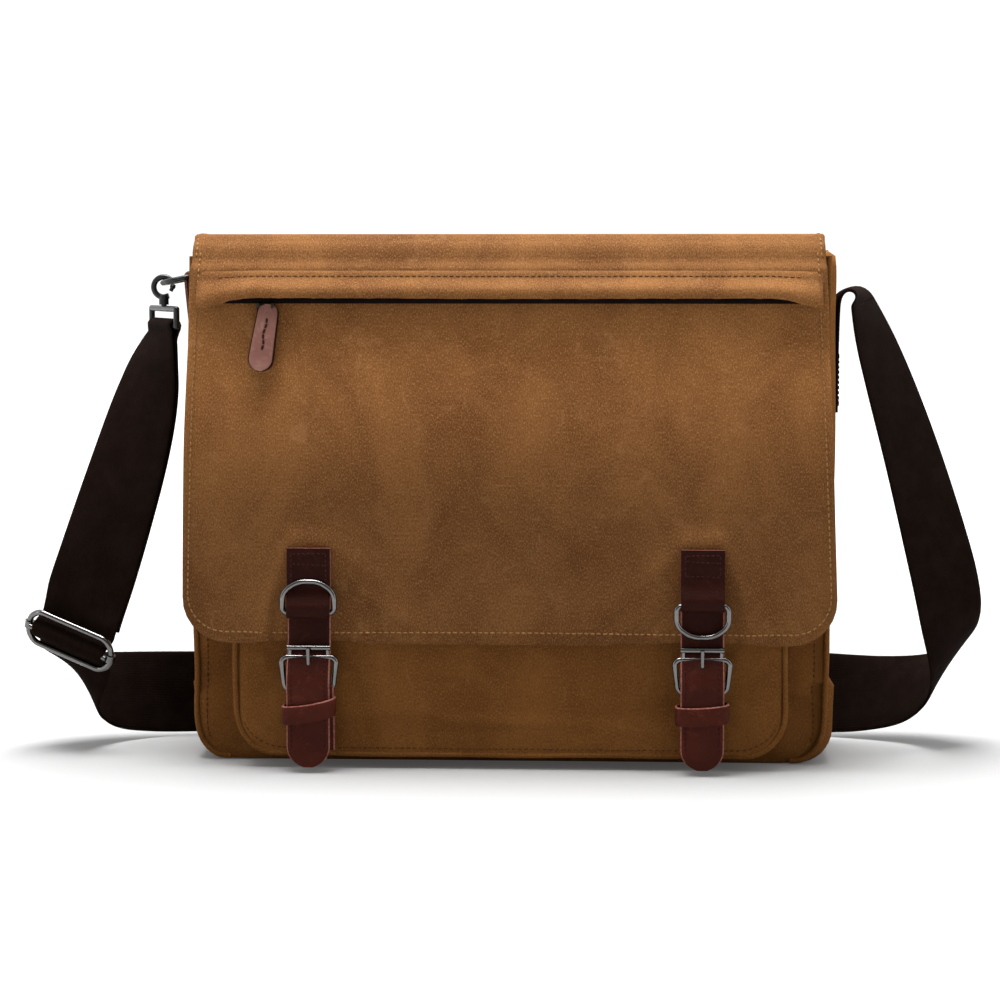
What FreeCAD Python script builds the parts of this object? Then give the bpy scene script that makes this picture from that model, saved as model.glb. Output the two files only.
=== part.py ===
import FreeCAD, Part
import math
import os
import re
import Sketcher
from FreeCAD import Placement, Rotation, Vector

# Canvas messenger bag with a folding flap, two leather buckle closures and a webbing shoulder strap.
# Millimetres.  +Z up, front towards -Y.  The origin is the middle of the base, on the ground.

SIZES = {
    "through": 100,     # longer than any cut made with it
    # main body
    "bag_width": 376, "body_height": 300, "front_height": 296, "back_face": 46, "front_face": -36,
    "canvas": 2, "corner_round": 20, "gusset_foot": 42,
    "lining_gap": 0.5, "lining_skin": 1, "lining_top": 294, "board_thick": 3,
    "divider_face": 15, "divider_thick": 7, "divider_top": 238,
    # front pocket
    "pocket_width": 318, "pocket_face": -62, "pocket_base": 8, "pocket_top": 190, "pocket_round": 24,
    "piping_radius": 2.2,
    # flap
    "flap_back": 45.5, "flap_front": -38, "flap_height": 308, "flap_width_top": 372, "flap_width_hem": 382,
    "skirt_top": 302, "skirt_top_y": -44.5, "skirt_bend": 190, "skirt_face": -68, "skirt_hem": 75,
    "hem_round": 26, "layer_gap": 1, "lining_rise": 3,
    # zip under its welt
    "zip_height": 273, "zip_slot": 6, "zip_length": 344, "tape_width": 18, "tape_thick": 0.8,
    "teeth_width": 4.8, "slider_place": -141, "pull_width": 14, "pull_length": 38, "pull_thick": 2.6,
    "hinge_drop": 6.5, "hinge_stand": 4.2, "hinge_pin": 0.9, "ear_gap": 6.8, "ear_thick": 1.6,
    "welt_gap": 0.3, "welt_rise": 17, "welt_bend": 8, "welt_lip": 5.2, "welt_drop": 3,
    # closures
    "closure_left": -115, "closure_right": 111, "leather": 2, "leather_width": 25,
    "closure_top": 128, "closure_tip": 3, "heel_height": 47, "heel_stand": -73, "bar_radius": 1.7,
    "tail_face": -79.5, "frame_height": 19, "frame_width": 31.6, "frame_corner": 2.2, "frame_taper": 1.9,
    "guide_gap": 5.5, "guide_link": 1.1, "prong_radius": 1.4, "prong_past": 6, "prong_slot": 2.6,
    "tab_back": -69, "tab_foot": 12, "keeper_low": 29, "keeper_high": 41, "keeper_width": 31, "keeper_skin": 1.4,
    "snap_height": 19, "socket_radius": 8, "stud_radius": 5.5, "post_radius": 2.2,
    # D-rings
    "ring_tab_top": 129, "ring_left_height": 92, "ring_right_height": 97, "ring_stand": -74.4,
    "ring_wire": 1.6, "ring_arc": 14.9, "ring_leg": 3, "ring_corner": 1.8, "lug_radius": 3.9,
    # side ring, hook and slider
    "side_ring_height": 284, "side_ring_stand": 192.2, "side_ring_drop": 12, "hook_loop": 6, "hook_wire": 1.7,
    "collar_length": 5.5, "collar_skin": 1.2, "socket_depth": 2.5, "post_length": 3.3, "gate_thumb": 1.7,
    "gate_wire": 1.2, "eye_width": 52, "eye_height": 10, "eye_wire": 1.8, "eye_turn": 115,
    "slider_width": 57, "slider_height": 21, "slider_wire": 1.8, "slider_gap": 4.2, "slider_sink": 2.5,
    # shoulder strap
    "webbing_width": 50, "webbing_thick": 2.5,
}

# Route of the strap's centre line from the right gusset to the hook: place, then the way its width lies.
STRAP_ROUTE = [
    ((205.8, 4, 269.4), (0.35, 0.93, 0)),
    ((211.5, 4, 252), (0.50, 0.86, 0.05)),
    ((221.5, 4.5, 224), (0.60, 0.78, 0.12)),
    ((236, 5.5, 180), (0.70, 0.70, 0.17)),
    ((249, 7, 135), (0.77, 0.60, 0.20)),
    ((259.5, 10, 96), (0.70, 0.48, 0.40)),
    ((265, 20, 64), (0.55, 0.35, 0.76)),
    ((261, 37, 44), (0.55, 0.35, 0.76)),
    ((244, 54, 31), (0.55, 0.35, 0.76)),
    ((216, 64, 26), (0.55, 0.35, 0.76)),
    ((176, 69, 26), (0.10, 0.22, 0.97)),
    ((120, 72, 26), (0, 0.08, 1)),
    ((60, 72, 26), (0, 0, 1)),
    ((0, 70, 26), (0, 0, 1)),
    ((-58, 67, 26), (0, 0, 1)),
    ((-112, 62.5, 26), (0, 0, 1)),
    ((-158, 57.5, 26), (0, 0, 1)),
    ((-194, 52, 26), (-0.20, 0, 0.97)),
    ((-225, 43, 27), (-0.57, 0, 0.82)),
    ((-250, 28, 30), (-0.57, 0, 0.82)),
    ((-264, 7.5, 38.5), (-0.57, 0, 0.82)),
    ((-265.5, -9, 57), (-0.57, 0, 0.82)),
    ((-259.5, -18, 81), (-0.65, 0.05, 0.75)),
    ((-249.5, -19.5, 109), (-0.90, 0.12, 0.40)),
    ((-239.5, -17, 141.5), (-0.90, 0.24, 0.34)),
    ((-229, -12.3, 177.5), (-0.85, 0.38, 0.30)),
    ((-221, -7.4, 210), (-0.78, 0.55, 0.24)),
    ((-216.5, -3, 236), (-0.62, 0.76, 0.12)),
    ((-211.4, -0.7, 252.3), (-0.42, 0.91, 0)),
]
SLIDER_RUN = 21         # the slider sits in the middle of the run that starts at this route point
STRAP_ROOT = [          # the sewn end, up the right gusset and over
    ((189.4, 4, 205), (0, 1, 0)),
    ((189.5, 4, 228), (0, 1, 0)),
    ((189.7, 4, 247), (0, 1, 0)),
    ((190, 4, 260), (0, 1, 0)),
    ((190.5, 4, 270.5), (0, 1, 0)),
    ((193.8, 4, 275.4), (0.05, 1, 0)),
    ((199.2, 4, 276.8), (0.15, 0.99, 0)),
    ((204.3, 4, 274), (0.3, 0.95, 0)),
    ((205.8, 4, 269.4), (0.35, 0.93, 0)),
]

doc = FreeCAD.newDocument("messenger_bag")
sheet = doc.addObject("Spreadsheet::Sheet", "Sizes")
for row_number, (alias, size) in enumerate(SIZES.items(), start=1):
    sheet.set("A%d" % row_number, alias)
    sheet.set("B%d" % row_number, str(size))
    sheet.setAlias("B%d" % row_number, alias)
doc.recompute()

parts = []


def bound(expression):
    """The expression with each alias written as a cell of the sheet."""
    return re.sub(r"[a-z_]+", lambda word: "Sizes." + word.group() if word.group() in SIZES else word.group(),
                  str(expression))


def value(expression):
    """The number that an expression of aliases stands for."""
    return float(sheet.evalExpression(bound(expression)))


def keep(thing, name):
    """Label a finished sub-part and note it for export."""
    thing.Label = name
    parts.append(thing)
    return thing


# ---------------------------------------------------------------- PartDesign helpers

def new_body(name):
    return doc.addObject("PartDesign::Body", name + "_body")


def polygon_sketch(body, plane, level, *loops):
    """Closed polygons on one of the body's origin planes, each corner bound to two expressions."""
    origin_plane = [feature for feature in body.Origin.OriginFeatures if feature.Role == plane][0]
    sketch = body.newObject("Sketcher::SketchObject", body.Name + "_sketch")
    sketch.AttachmentSupport = [(origin_plane, "")]
    sketch.MapMode = "FlatFace"
    sketch.setExpression("AttachmentOffset.Base.z", bound(level))
    for corners in loops:
        places = [Vector(value(across), value(up), 0) for across, up in corners]
        first = len(sketch.Geometry)
        count = len(corners)
        for index in range(count):
            sketch.addGeometry(Part.LineSegment(places[index], places[(index + 1) % count]), False)
        for index in range(count):
            line = first + index
            sketch.addConstraint(Sketcher.Constraint("Coincident", line, 2, first + (index + 1) % count, 1))
            for axis, expression, coordinate in (("DistanceX", corners[index][0], places[index].x),
                                                 ("DistanceY", corners[index][1], places[index].y)):
                number = sketch.addConstraint(Sketcher.Constraint(axis, -1, 1, line, 1, coordinate))
                sketch.setExpression("Constraints[%d]" % number, bound(expression))
    return sketch


def extrude(body, kind, sketch, length, backwards=False):
    """Pad or Pocket a sketch by a bound length, and check that it changed the solid."""
    before = body.Shape.Volume if body.Tip else 0
    feature = body.newObject("PartDesign::" + kind, body.Name + "_" + kind.lower())
    feature.Profile = sketch
    feature.setExpression("Length", bound(length))
    feature.Reversed = backwards
    doc.recompute()
    change = body.Shape.Volume - before
    if (change <= 0) == (kind == "Pad"):
        raise RuntimeError("%s did nothing on %s" % (kind, body.Name))
    return feature


def round_edges(body, radius, chosen):
    """Fillet the edges of the body's tip that a test picks."""
    base = body.Tip
    names = ["Edge%d" % (number + 1) for number, edge in enumerate(base.Shape.Edges) if chosen(edge)]
    fillet = body.newObject("PartDesign::Fillet", body.Name + "_fillet")
    fillet.Base = (base, names)
    fillet.setExpression("Radius", bound(radius))
    doc.recompute()
    return fillet


def runs_along(axis):
    """A test for straight edges along one axis."""
    def test(edge):
        return (isinstance(edge.Curve, (Part.Line, Part.LineSegment))
                and abs(edge.tangentAt(edge.FirstParameter).dot(axis)) > 0.99)
    return test


def low_corner(limit):
    """A test for edges along Y that lie below a height: the bottom corners of an upright sheet."""
    def test(edge):
        return runs_along(Vector(0, 1, 0))(edge) and edge.CenterOfMass.z < value(limit)
    return test


def rectangle(left, right, low, high):
    return [(left, low), (right, low), (right, high), (left, high)]


def upright_sheet(name, width, low, high, back, thick, round_radius=None):
    """A plate across X from y = back forwards, with rounded bottom corners."""
    body = new_body(name)
    half = "(%s)/2" % width
    outline = polygon_sketch(body, "XZ_Plane", "-(%s)" % back, rectangle("-" + half, half, low, high))
    extrude(body, "Pad", outline, thick)
    if round_radius:
        round_edges(body, round_radius, low_corner("(%s) + 1" % low))
    return keep(body, name)


def prism_along_x(name, corners, middle, width):
    """A profile in Y and Z, carried across X about a middle."""
    body = new_body(name)
    start = "(%s) - (%s)/2" % (middle, width)
    extrude(body, "Pad", polygon_sketch(body, "YZ_Plane", start, corners), width)
    return body


def cut_through(body, outline):
    """Cut an outline in X and Z right through everything in front of the body's XZ plane."""
    extrude(body, "Pocket", polygon_sketch(body, "XZ_Plane", 0, outline), "through", backwards=True)


# ---------------------------------------------------------------- Part helpers

def cylinder(name, radius, length, base, direction):
    """A Part cylinder whose radius and length are bound, from a base point along a direction."""
    shape = doc.addObject("Part::Cylinder", name)
    shape.setExpression("Radius", bound(radius))
    shape.setExpression("Height", bound(length))
    shape.Placement = Placement(Vector(*base), Rotation(Vector(0, 0, 1), Vector(*direction)))
    return shape


def combine(kind, name, pieces):
    """A Part boolean of several objects: MultiFuse, or Cut of the second from the first."""
    result = doc.addObject("Part::" + kind, name)
    if kind == "MultiFuse":
        result.Shapes = pieces
    else:
        result.Base, result.Tool = pieces
    return result


def tangent_path(points, closed=False):
    """Straight runs joined by tangent arcs of 0.45 of the shorter run over the tangent of half the turn."""
    count = len(points)
    corners = range(count) if closed else range(1, count - 1)
    edges = []
    radii = []
    joints = {}
    for index in corners:
        corner = points[index]
        back = points[index - 1] - corner
        ahead = points[(index + 1) % count] - corner
        half_turn = (math.pi - back.getAngle(ahead)) / 2
        reach = 0.45 * min(back.Length, ahead.Length)
        radius = reach / math.tan(half_turn)
        start = corner + back.normalize() * reach
        finish = corner + ahead.normalize() * reach
        bisector = (back + ahead).normalize()
        middle = corner + bisector * (radius / math.cos(half_turn) - radius)
        joints[index] = (start, middle, finish)
        radii.append(radius)
    last = points[0] if not closed else joints[count - 1][2]
    for index in corners:
        start, middle, finish = joints[index]
        edges.append(Part.LineSegment(last, start).toShape())
        edges.append(Part.Arc(start, middle, finish).toShape())
        last = finish
    if not closed:
        edges.append(Part.LineSegment(last, points[-1]).toShape())
    return edges, radii


def bent_wire(name, points, wire_radius, placement, closed=True):
    """A round wire swept along straight sides and tangent corners."""
    edges, _ = tangent_path([Vector(*point) for point in points], closed)
    spine = doc.addObject("Part::Feature", name + "_spine")
    spine.Shape = Part.Wire(edges)
    section = doc.addObject("Part::Circle", name + "_section")
    section.setExpression("Radius", bound(wire_radius))
    start = edges[0].valueAt(edges[0].FirstParameter)
    section.Placement = Placement(start, Rotation(Vector(0, 0, 1), edges[0].tangentAt(edges[0].FirstParameter)))
    sweep = doc.addObject("Part::Sweep", name + "_sweep")
    sweep.Sections = [section]
    sweep.Spine = (spine, ["Edge%d" % (number + 1) for number in range(len(edges))])
    sweep.Solid = True
    sweep.Frenet = False
    sweep.Transition = "Right corner"
    sweep.Placement = placement
    return sweep


def square_section(centre, along, across, offset):
    """The four corners of the webbing at a point of a route, its width along `across`."""
    along = Vector(along).normalize()
    across = (across - along * across.dot(along)).normalize()
    face = along.cross(across)
    half_width = across * (value("webbing_width") / 2)
    half_thick = face * (value("webbing_thick") / 2)
    centre = centre + face * offset
    return [centre + half_width + half_thick, centre - half_width + half_thick,
            centre - half_width - half_thick, centre + half_width - half_thick]


def ruled_face(near_start, near_end, far_start, far_end):
    """The face swept by a straight line between two straight edges."""
    surface = Part.BSplineSurface()
    surface.buildFromPolesMultsKnots([[near_start, near_end], [far_start, far_end]],
                                     [2, 2], [2, 2], [0, 1], [0, 1], False, False, 1, 1)
    return surface.toShape()


def ruled_solid(sections):
    """A solid of ruled faces between each section and the next, closed by a flat face at each end."""
    faces = [Part.Face(Part.makePolygon(section + section[:1])) for section in (sections[0], sections[-1])]
    for near, far in zip(sections, sections[1:]):
        for corner in range(4):
            following = (corner + 1) % 4
            faces.append(ruled_face(near[corner], near[following], far[corner], far[following]))
    shell = Part.makeShell(faces)
    shell.sewShape()
    solid = Part.makeSolid(shell)
    if solid.Volume < 0:
        solid.reverse()
    return solid


def webbing(name, route, first_run=0, offset=0.0):
    """Flat webbing along a route from one of its runs on: ruled between sections on the runs and arcs of its path."""
    points = [Vector(*place) for place, _ in route]
    widths = [Vector(*width) for _, width in route]
    edges, radii = tangent_path(points)
    stations = []
    edges_before = 2 * first_run
    for number, edge in enumerate(edges[edges_before:], start=edges_before):
        steps = (0.0, 1.0) if number % 2 == 0 else (0.5,)
        for step in steps:
            parameter = edge.FirstParameter + step * (edge.LastParameter - edge.FirstParameter)
            stations.append((edge.valueAt(parameter), edge.tangentAt(parameter), number + step))
    sections = []
    for centre, along, place in stations:
        run = min(max((place - 0.5) / 2, 0), len(route) - 1)
        near = min(int(run), len(route) - 2)
        share = run - near
        sections.append(square_section(centre, along, widths[near] * (1 - share) + widths[near + 1] * share, offset))
    solid = ruled_solid(sections)
    length = sum(edge.Length for edge in edges[edges_before:])
    expected = length * value("webbing_width*webbing_thick")
    print("%s: length %.0f mm, arc radii %s mm, volume over section x length %.3f"
          % (name, length, ", ".join("%.0f" % radius for radius in radii[first_run:]), solid.Volume / expected))
    ribbon = doc.addObject("Part::Feature", name)
    ribbon.Shape = solid
    ribbon.Placement = Placement(Vector(0, 0, 0), Rotation())
    return keep(ribbon, name)


# ---------------------------------------------------------------- main body

def build_body():
    half = "bag_width/2"
    depth = "back_face - front_face - 2*canvas"
    upright_sheet("back_panel", "bag_width", 0, "body_height", "back_face", "canvas", "corner_round")
    upright_sheet("front_panel", "bag_width", 0, "front_height", "front_face + canvas", "canvas", "corner_round")
    for side, sign in (("left", "-1"), ("right", "1")):
        body = new_body("gusset_" + side)
        outline = [(sign + "*" + half, "body_height"), (sign + "*" + half, 0),
                   ("%s*(%s - gusset_foot)" % (sign, half), 0), ("%s*(%s - gusset_foot)" % (sign, half), "canvas"),
                   ("%s*(%s - canvas)" % (sign, half), "canvas"), ("%s*(%s - canvas)" % (sign, half), "body_height")]
        extrude(body, "Pad", polygon_sketch(body, "XZ_Plane", "-(back_face - canvas)", outline), depth)
        at_outside = value(half)

        def outer(edge):
            return low_corner(1)(edge) and abs(edge.CenterOfMass.x) > at_outside - 1

        def inner(edge):
            return (low_corner("canvas + 1")(edge) and edge.CenterOfMass.z > 1
                    and abs(edge.CenterOfMass.x) > at_outside - value("canvas") - 1)

        round_edges(body, "corner_round", outer)
        round_edges(body, "corner_round - canvas", inner)
        keep(body, "gusset_" + side)
    upright_sheet("base_panel", "bag_width - 2*gusset_foot", 0, "canvas", "back_face - canvas", depth)
    upright_sheet("base_board", "bag_width - 2*corner_round - 12", "canvas + 0.2", "canvas + 0.2 + board_thick",
                  "back_face - canvas - 1", "back_face - front_face - 2*canvas - 2")

    lining_width = "bag_width - 2*canvas - 2*lining_gap"
    lining_low = "canvas + board_thick + 0.6"
    lining = new_body("lining")
    half_lining = "(%s)/2" % lining_width
    inside = "(%s - lining_skin)" % half_lining
    back = "back_face - canvas - lining_gap"
    shell_depth = "back_face - front_face - 2*canvas - 2*lining_gap"
    extrude(lining, "Pad", polygon_sketch(lining, "XZ_Plane", "-(%s)" % back,
            rectangle("-" + half_lining, half_lining, lining_low, "lining_top")), shell_depth)
    round_edges(lining, "corner_round - canvas - 1", low_corner(lining_low + " + 1"))
    hollow_low = "%s + lining_skin" % lining_low
    cut_corner = "corner_round/3"
    hollow = [("-%s" % inside, "%s + %s" % (hollow_low, "corner_round")),
              ("-%s + %s" % (inside, cut_corner), "%s + %s" % (hollow_low, cut_corner)),
              ("-%s + corner_round" % inside, hollow_low), ("%s - corner_round" % inside, hollow_low),
              ("%s - %s" % (inside, cut_corner), "%s + %s" % (hollow_low, cut_corner)),
              (inside, "%s + corner_round" % hollow_low), (inside, "lining_top + 5"), ("-" + inside, "lining_top + 5")]
    extrude(lining, "Pocket", polygon_sketch(lining, "XZ_Plane", "-(%s - lining_skin)" % back, hollow),
            "%s - 2*lining_skin" % shell_depth, backwards=True)
    keep(lining, "lining")
    upright_sheet("laptop_divider", "%s - 20" % lining_width, "%s + lining_skin + 0.4" % lining_low, "divider_top",
                  "divider_face + divider_thick", "divider_thick", "corner_round")


def build_pocket():
    upright_sheet("pocket_panel", "pocket_width", "pocket_base", "pocket_top", "pocket_face + canvas", "canvas",
                  "pocket_round")
    half = "pocket_width/2"
    body = new_body("pocket_gusset")
    outline = [("-" + half, "pocket_base"), (half, "pocket_base"), (half, "pocket_top"),
               (half + " - canvas", "pocket_top"), (half + " - canvas", "pocket_base + canvas"),
               ("-%s + canvas" % half, "pocket_base + canvas"), ("-%s + canvas" % half, "pocket_top"),
               ("-" + half, "pocket_top")]
    extrude(body, "Pad", polygon_sketch(body, "XZ_Plane", "-front_face", outline),
            "front_face - pocket_face - canvas")
    outside = value("pocket_base") + 1
    round_edges(body, "pocket_round", lambda edge: runs_along(Vector(0, 1, 0))(edge)
                and edge.CenterOfMass.z < outside)
    round_edges(body, "pocket_round - canvas", lambda edge: runs_along(Vector(0, 1, 0))(edge)
                and outside < edge.CenterOfMass.z < outside + value("canvas"))
    keep(body, "pocket_gusset")

    # piping round the sides and base of the pocket's front edge: quarter turns at the two corners
    reach = value("pocket_width/2 + piping_radius")
    low = value("pocket_base - piping_radius")
    turn = value("pocket_round + piping_radius")
    top = value("pocket_top")
    lean = turn * (1 - math.sqrt(0.5))
    level = Vector(0, value("pocket_face + canvas/2"), 0)
    edges = [Part.LineSegment(Vector(-reach, 0, top), Vector(-reach, 0, low + turn)).toShape(),
             Part.Arc(Vector(-reach, 0, low + turn), Vector(-reach + lean, 0, low + lean),
                      Vector(-reach + turn, 0, low)).toShape(),
             Part.LineSegment(Vector(-reach + turn, 0, low), Vector(reach - turn, 0, low)).toShape(),
             Part.Arc(Vector(reach - turn, 0, low), Vector(reach - lean, 0, low + lean),
                      Vector(reach, 0, low + turn)).toShape(),
             Part.LineSegment(Vector(reach, 0, low + turn), Vector(reach, 0, top)).toShape()]
    spine = doc.addObject("Part::Feature", "piping_spine")
    spine.Shape = Part.Wire(edges)
    section = doc.addObject("Part::Circle", "piping_section")
    section.setExpression("Radius", bound("piping_radius"))
    section.Placement = Placement(Vector(-reach, 0, top), Rotation(Vector(0, 0, 1), Vector(0, 0, -1)))
    piping = doc.addObject("Part::Sweep", "piping_sweep")
    piping.Sections = [section]
    piping.Spine = (spine, ["Edge%d" % (number + 1) for number in range(len(edges))])
    piping.Solid = True
    piping.Frenet = False
    piping.Placement = Placement(level, Rotation())
    keep(piping, "pocket_piping")


# ---------------------------------------------------------------- flap

def skirt_profile(back_shift, thick, hem):
    """Outline in Y and Z of one layer of the flap's front: it slopes to the pocket, then hangs straight."""
    front = "skirt_face + %s" % back_shift
    top = "skirt_top_y + %s" % back_shift
    return [(top, "skirt_top"), (front, "skirt_bend"), (front, hem), (front + " + %s" % thick, hem),
            (front + " + %s" % thick, "skirt_bend"), (top + " + %s" % thick, "skirt_top")]


def build_flap():
    for name, top in (("flap_top_canvas", "flap_height"), ("flap_top_lining", "flap_height - canvas - 0.5")):
        thick = "canvas" if name.endswith("canvas") else "1.5"
        body = new_body(name)
        half = "flap_width_top/2"
        extrude(body, "Pad", polygon_sketch(body, "XY_Plane", "%s - %s" % (top, thick),
                rectangle("-" + half, half, "flap_front", "flap_back")), thick)
        keep(body, name)

    for name, shift, thick, hem in (("flap_front_canvas", "0", "canvas", "skirt_hem"),
                                    ("flap_front_lining", "canvas + layer_gap", "lining_skin",
                                     "skirt_hem + lining_rise")):
        body = new_body(name)
        profile = polygon_sketch(body, "YZ_Plane", "-flap_width_hem/2", skirt_profile(shift, thick, hem))
        extrude(body, "Pad", profile, "flap_width_hem")
        for sign in ("-1", "1"):
            wedge = [("%s*flap_width_hem/2" % sign, "skirt_hem"), ("%s*flap_width_hem" % sign, "skirt_hem"),
                     ("%s*flap_width_hem" % sign, "skirt_top"), ("%s*flap_width_top/2" % sign, "skirt_top")]
            cut_through(body, wedge)
        if name.endswith("canvas"):
            opening = rectangle("-zip_length/2", "zip_length/2", "zip_height - zip_slot/2", "zip_height + zip_slot/2")
            cut_through(body, opening)
        low = value(hem) + 1
        round_edges(body, "hem_round", lambda edge: runs_along(Vector(0, 1, 0))(edge) and edge.CenterOfMass.z < low)
        keep(body, name)


def slope_placement():
    """The frame of the zip: on the sloping canvas, Z up the slope and Y into the bag."""
    fall = value("skirt_top - skirt_bend")
    run = value("skirt_top_y - skirt_face")
    lean = math.degrees(math.atan2(run, fall))
    share = (value("skirt_top") - value("zip_height")) / fall
    return Placement(Vector(0, value("skirt_top_y") - run * share, value("zip_height")),
                     Rotation(Vector(1, 0, 0), -lean))


def build_zip():
    slope = slope_placement()
    length = "zip_length"
    welt = [("-welt_gap", "welt_rise"), ("-welt_gap - canvas", "welt_rise"), ("-welt_gap - canvas", "welt_bend"),
            ("-welt_lip - canvas", "-welt_drop"), ("-welt_lip", "-welt_drop"), ("-welt_gap", "welt_bend")]
    tape = rectangle("canvas + 0.1", "canvas + 0.1 + tape_thick", "-tape_width/2", "tape_width/2")
    teeth = rectangle(0.5, "canvas + 0.1", "-teeth_width/2", "teeth_width/2")
    for name, profile, width in (("flap_welt", welt, "flap_width_top - 8"), ("zipper_tape", tape, length + " + 10"),
                                 ("zipper_teeth", teeth, length + " - 4")):
        piece = keep(prism_along_x(name, profile, 0, width), name)
        piece.Placement = slope

    slider_frame = slope.multiply(Placement(Vector(value("slider_place"), 0, 0), Rotation()))
    pin_y = -value("hinge_stand")
    pin_z = -value("hinge_drop")
    ear_profile = [(-1, pin_z - 1.6), (-1, pin_z + 1.8), (pin_y - 1.4, pin_z + 1.2), (pin_y - 1.4, pin_z - 1.6)]
    plate = prism_along_x("slider_plate", rectangle(-1.6, -0.4, -8, 4), 0, "ear_gap + 2*ear_thick")
    ears = [prism_along_x("slider_ear", ear_profile, sign + "(ear_gap + ear_thick)/2", "ear_thick")
            for sign in ("-", "")]
    pin = cylinder("slider_pin", "hinge_pin", "ear_gap + ear_thick", (-value("ear_gap + ear_thick") / 2, pin_y, pin_z),
                   (1, 0, 0))
    slider = combine("MultiFuse", "zipper_slider_solid", [plate, *ears, pin])
    slider.Placement = slider_frame
    keep(slider, "zipper_slider")

    pull = new_body("pull_plate")
    half = "pull_width/2"
    shoulder = "-hinge_drop - 4"
    foot = "-hinge_drop - pull_length"
    leather_back = "hinge_stand - pull_thick/2"
    neck = "(ear_gap/2 - 0.6)"
    outline = [("-" + neck, "-hinge_drop"), ("-" + neck, shoulder), ("-" + half, shoulder), ("-" + half, foot),
               (half, foot), (half, shoulder), (neck, shoulder), (neck, "-hinge_drop")]
    extrude(pull, "Pad", polygon_sketch(pull, "XZ_Plane", leather_back, outline), "pull_thick")
    tip = value(foot) + 1
    round_edges(pull, "pull_width/2 - 0.2", lambda edge: runs_along(Vector(0, 1, 0))(edge)
                and edge.CenterOfMass.z < tip)
    eye = cylinder("pull_eye", "hinge_pin + 1.2", "2*" + neck, (-value(neck), pin_y, pin_z), (1, 0, 0))
    bore = cylinder("pull_bore", "hinge_pin + 0.06", "pull_width", (-value(half), pin_y, pin_z), (1, 0, 0))
    solid = combine("Cut", "zipper_pull_solid", [combine("MultiFuse", "pull_blank", [pull, eye]), bore])
    solid.Placement = slider_frame
    keep(solid, "zipper_pull")


# ---------------------------------------------------------------- closures

def d_ring(name, placement):
    """A D-ring hanging from its straight bar, which lies on the local X axis."""
    arc = value("ring_arc")
    leg = value("ring_leg")
    corner = value("ring_corner")
    slant = math.tan(math.pi / 8) * arc
    outline = [(corner - arc, 0), (arc - corner, 0), (arc, -corner), (arc, -leg - arc + slant),
               (slant, -leg - arc), (-slant, -leg - arc), (-arc, -leg - arc + slant), (-arc, -corner)]
    return keep(bent_wire(name + "_bow", [(x, 0, z) for x, z in outline], "ring_wire", placement), name)


def lug_tab(name, height, middle):
    """A leather tab sewn to the flap, its lower end folded round a ring's bar."""
    sheet_body = new_body(name + "_sheet")
    back = "skirt_face - 0.3 - leather - 0.2"
    start = "%s - leather_width/2" % middle
    outline = [(back, height), (back, "ring_tab_top"), (back + " - leather + 0.2", "ring_tab_top"),
               (back + " - leather + 0.2", height)]
    extrude(sheet_body, "Pad", polygon_sketch(sheet_body, "YZ_Plane", start, outline), "leather_width")
    centre = (value(start), value("ring_stand"), value(height))
    roll = cylinder(name + "_roll", "lug_radius", "leather_width", centre, (1, 0, 0))
    bore = cylinder(name + "_bore", "ring_wire + 0.25", "leather_width", centre, (1, 0, 0))
    blank = combine("MultiFuse", name + "_blank", [sheet_body, roll])
    return keep(combine("Cut", name + "_solid", [blank, bore]), name)


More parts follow.
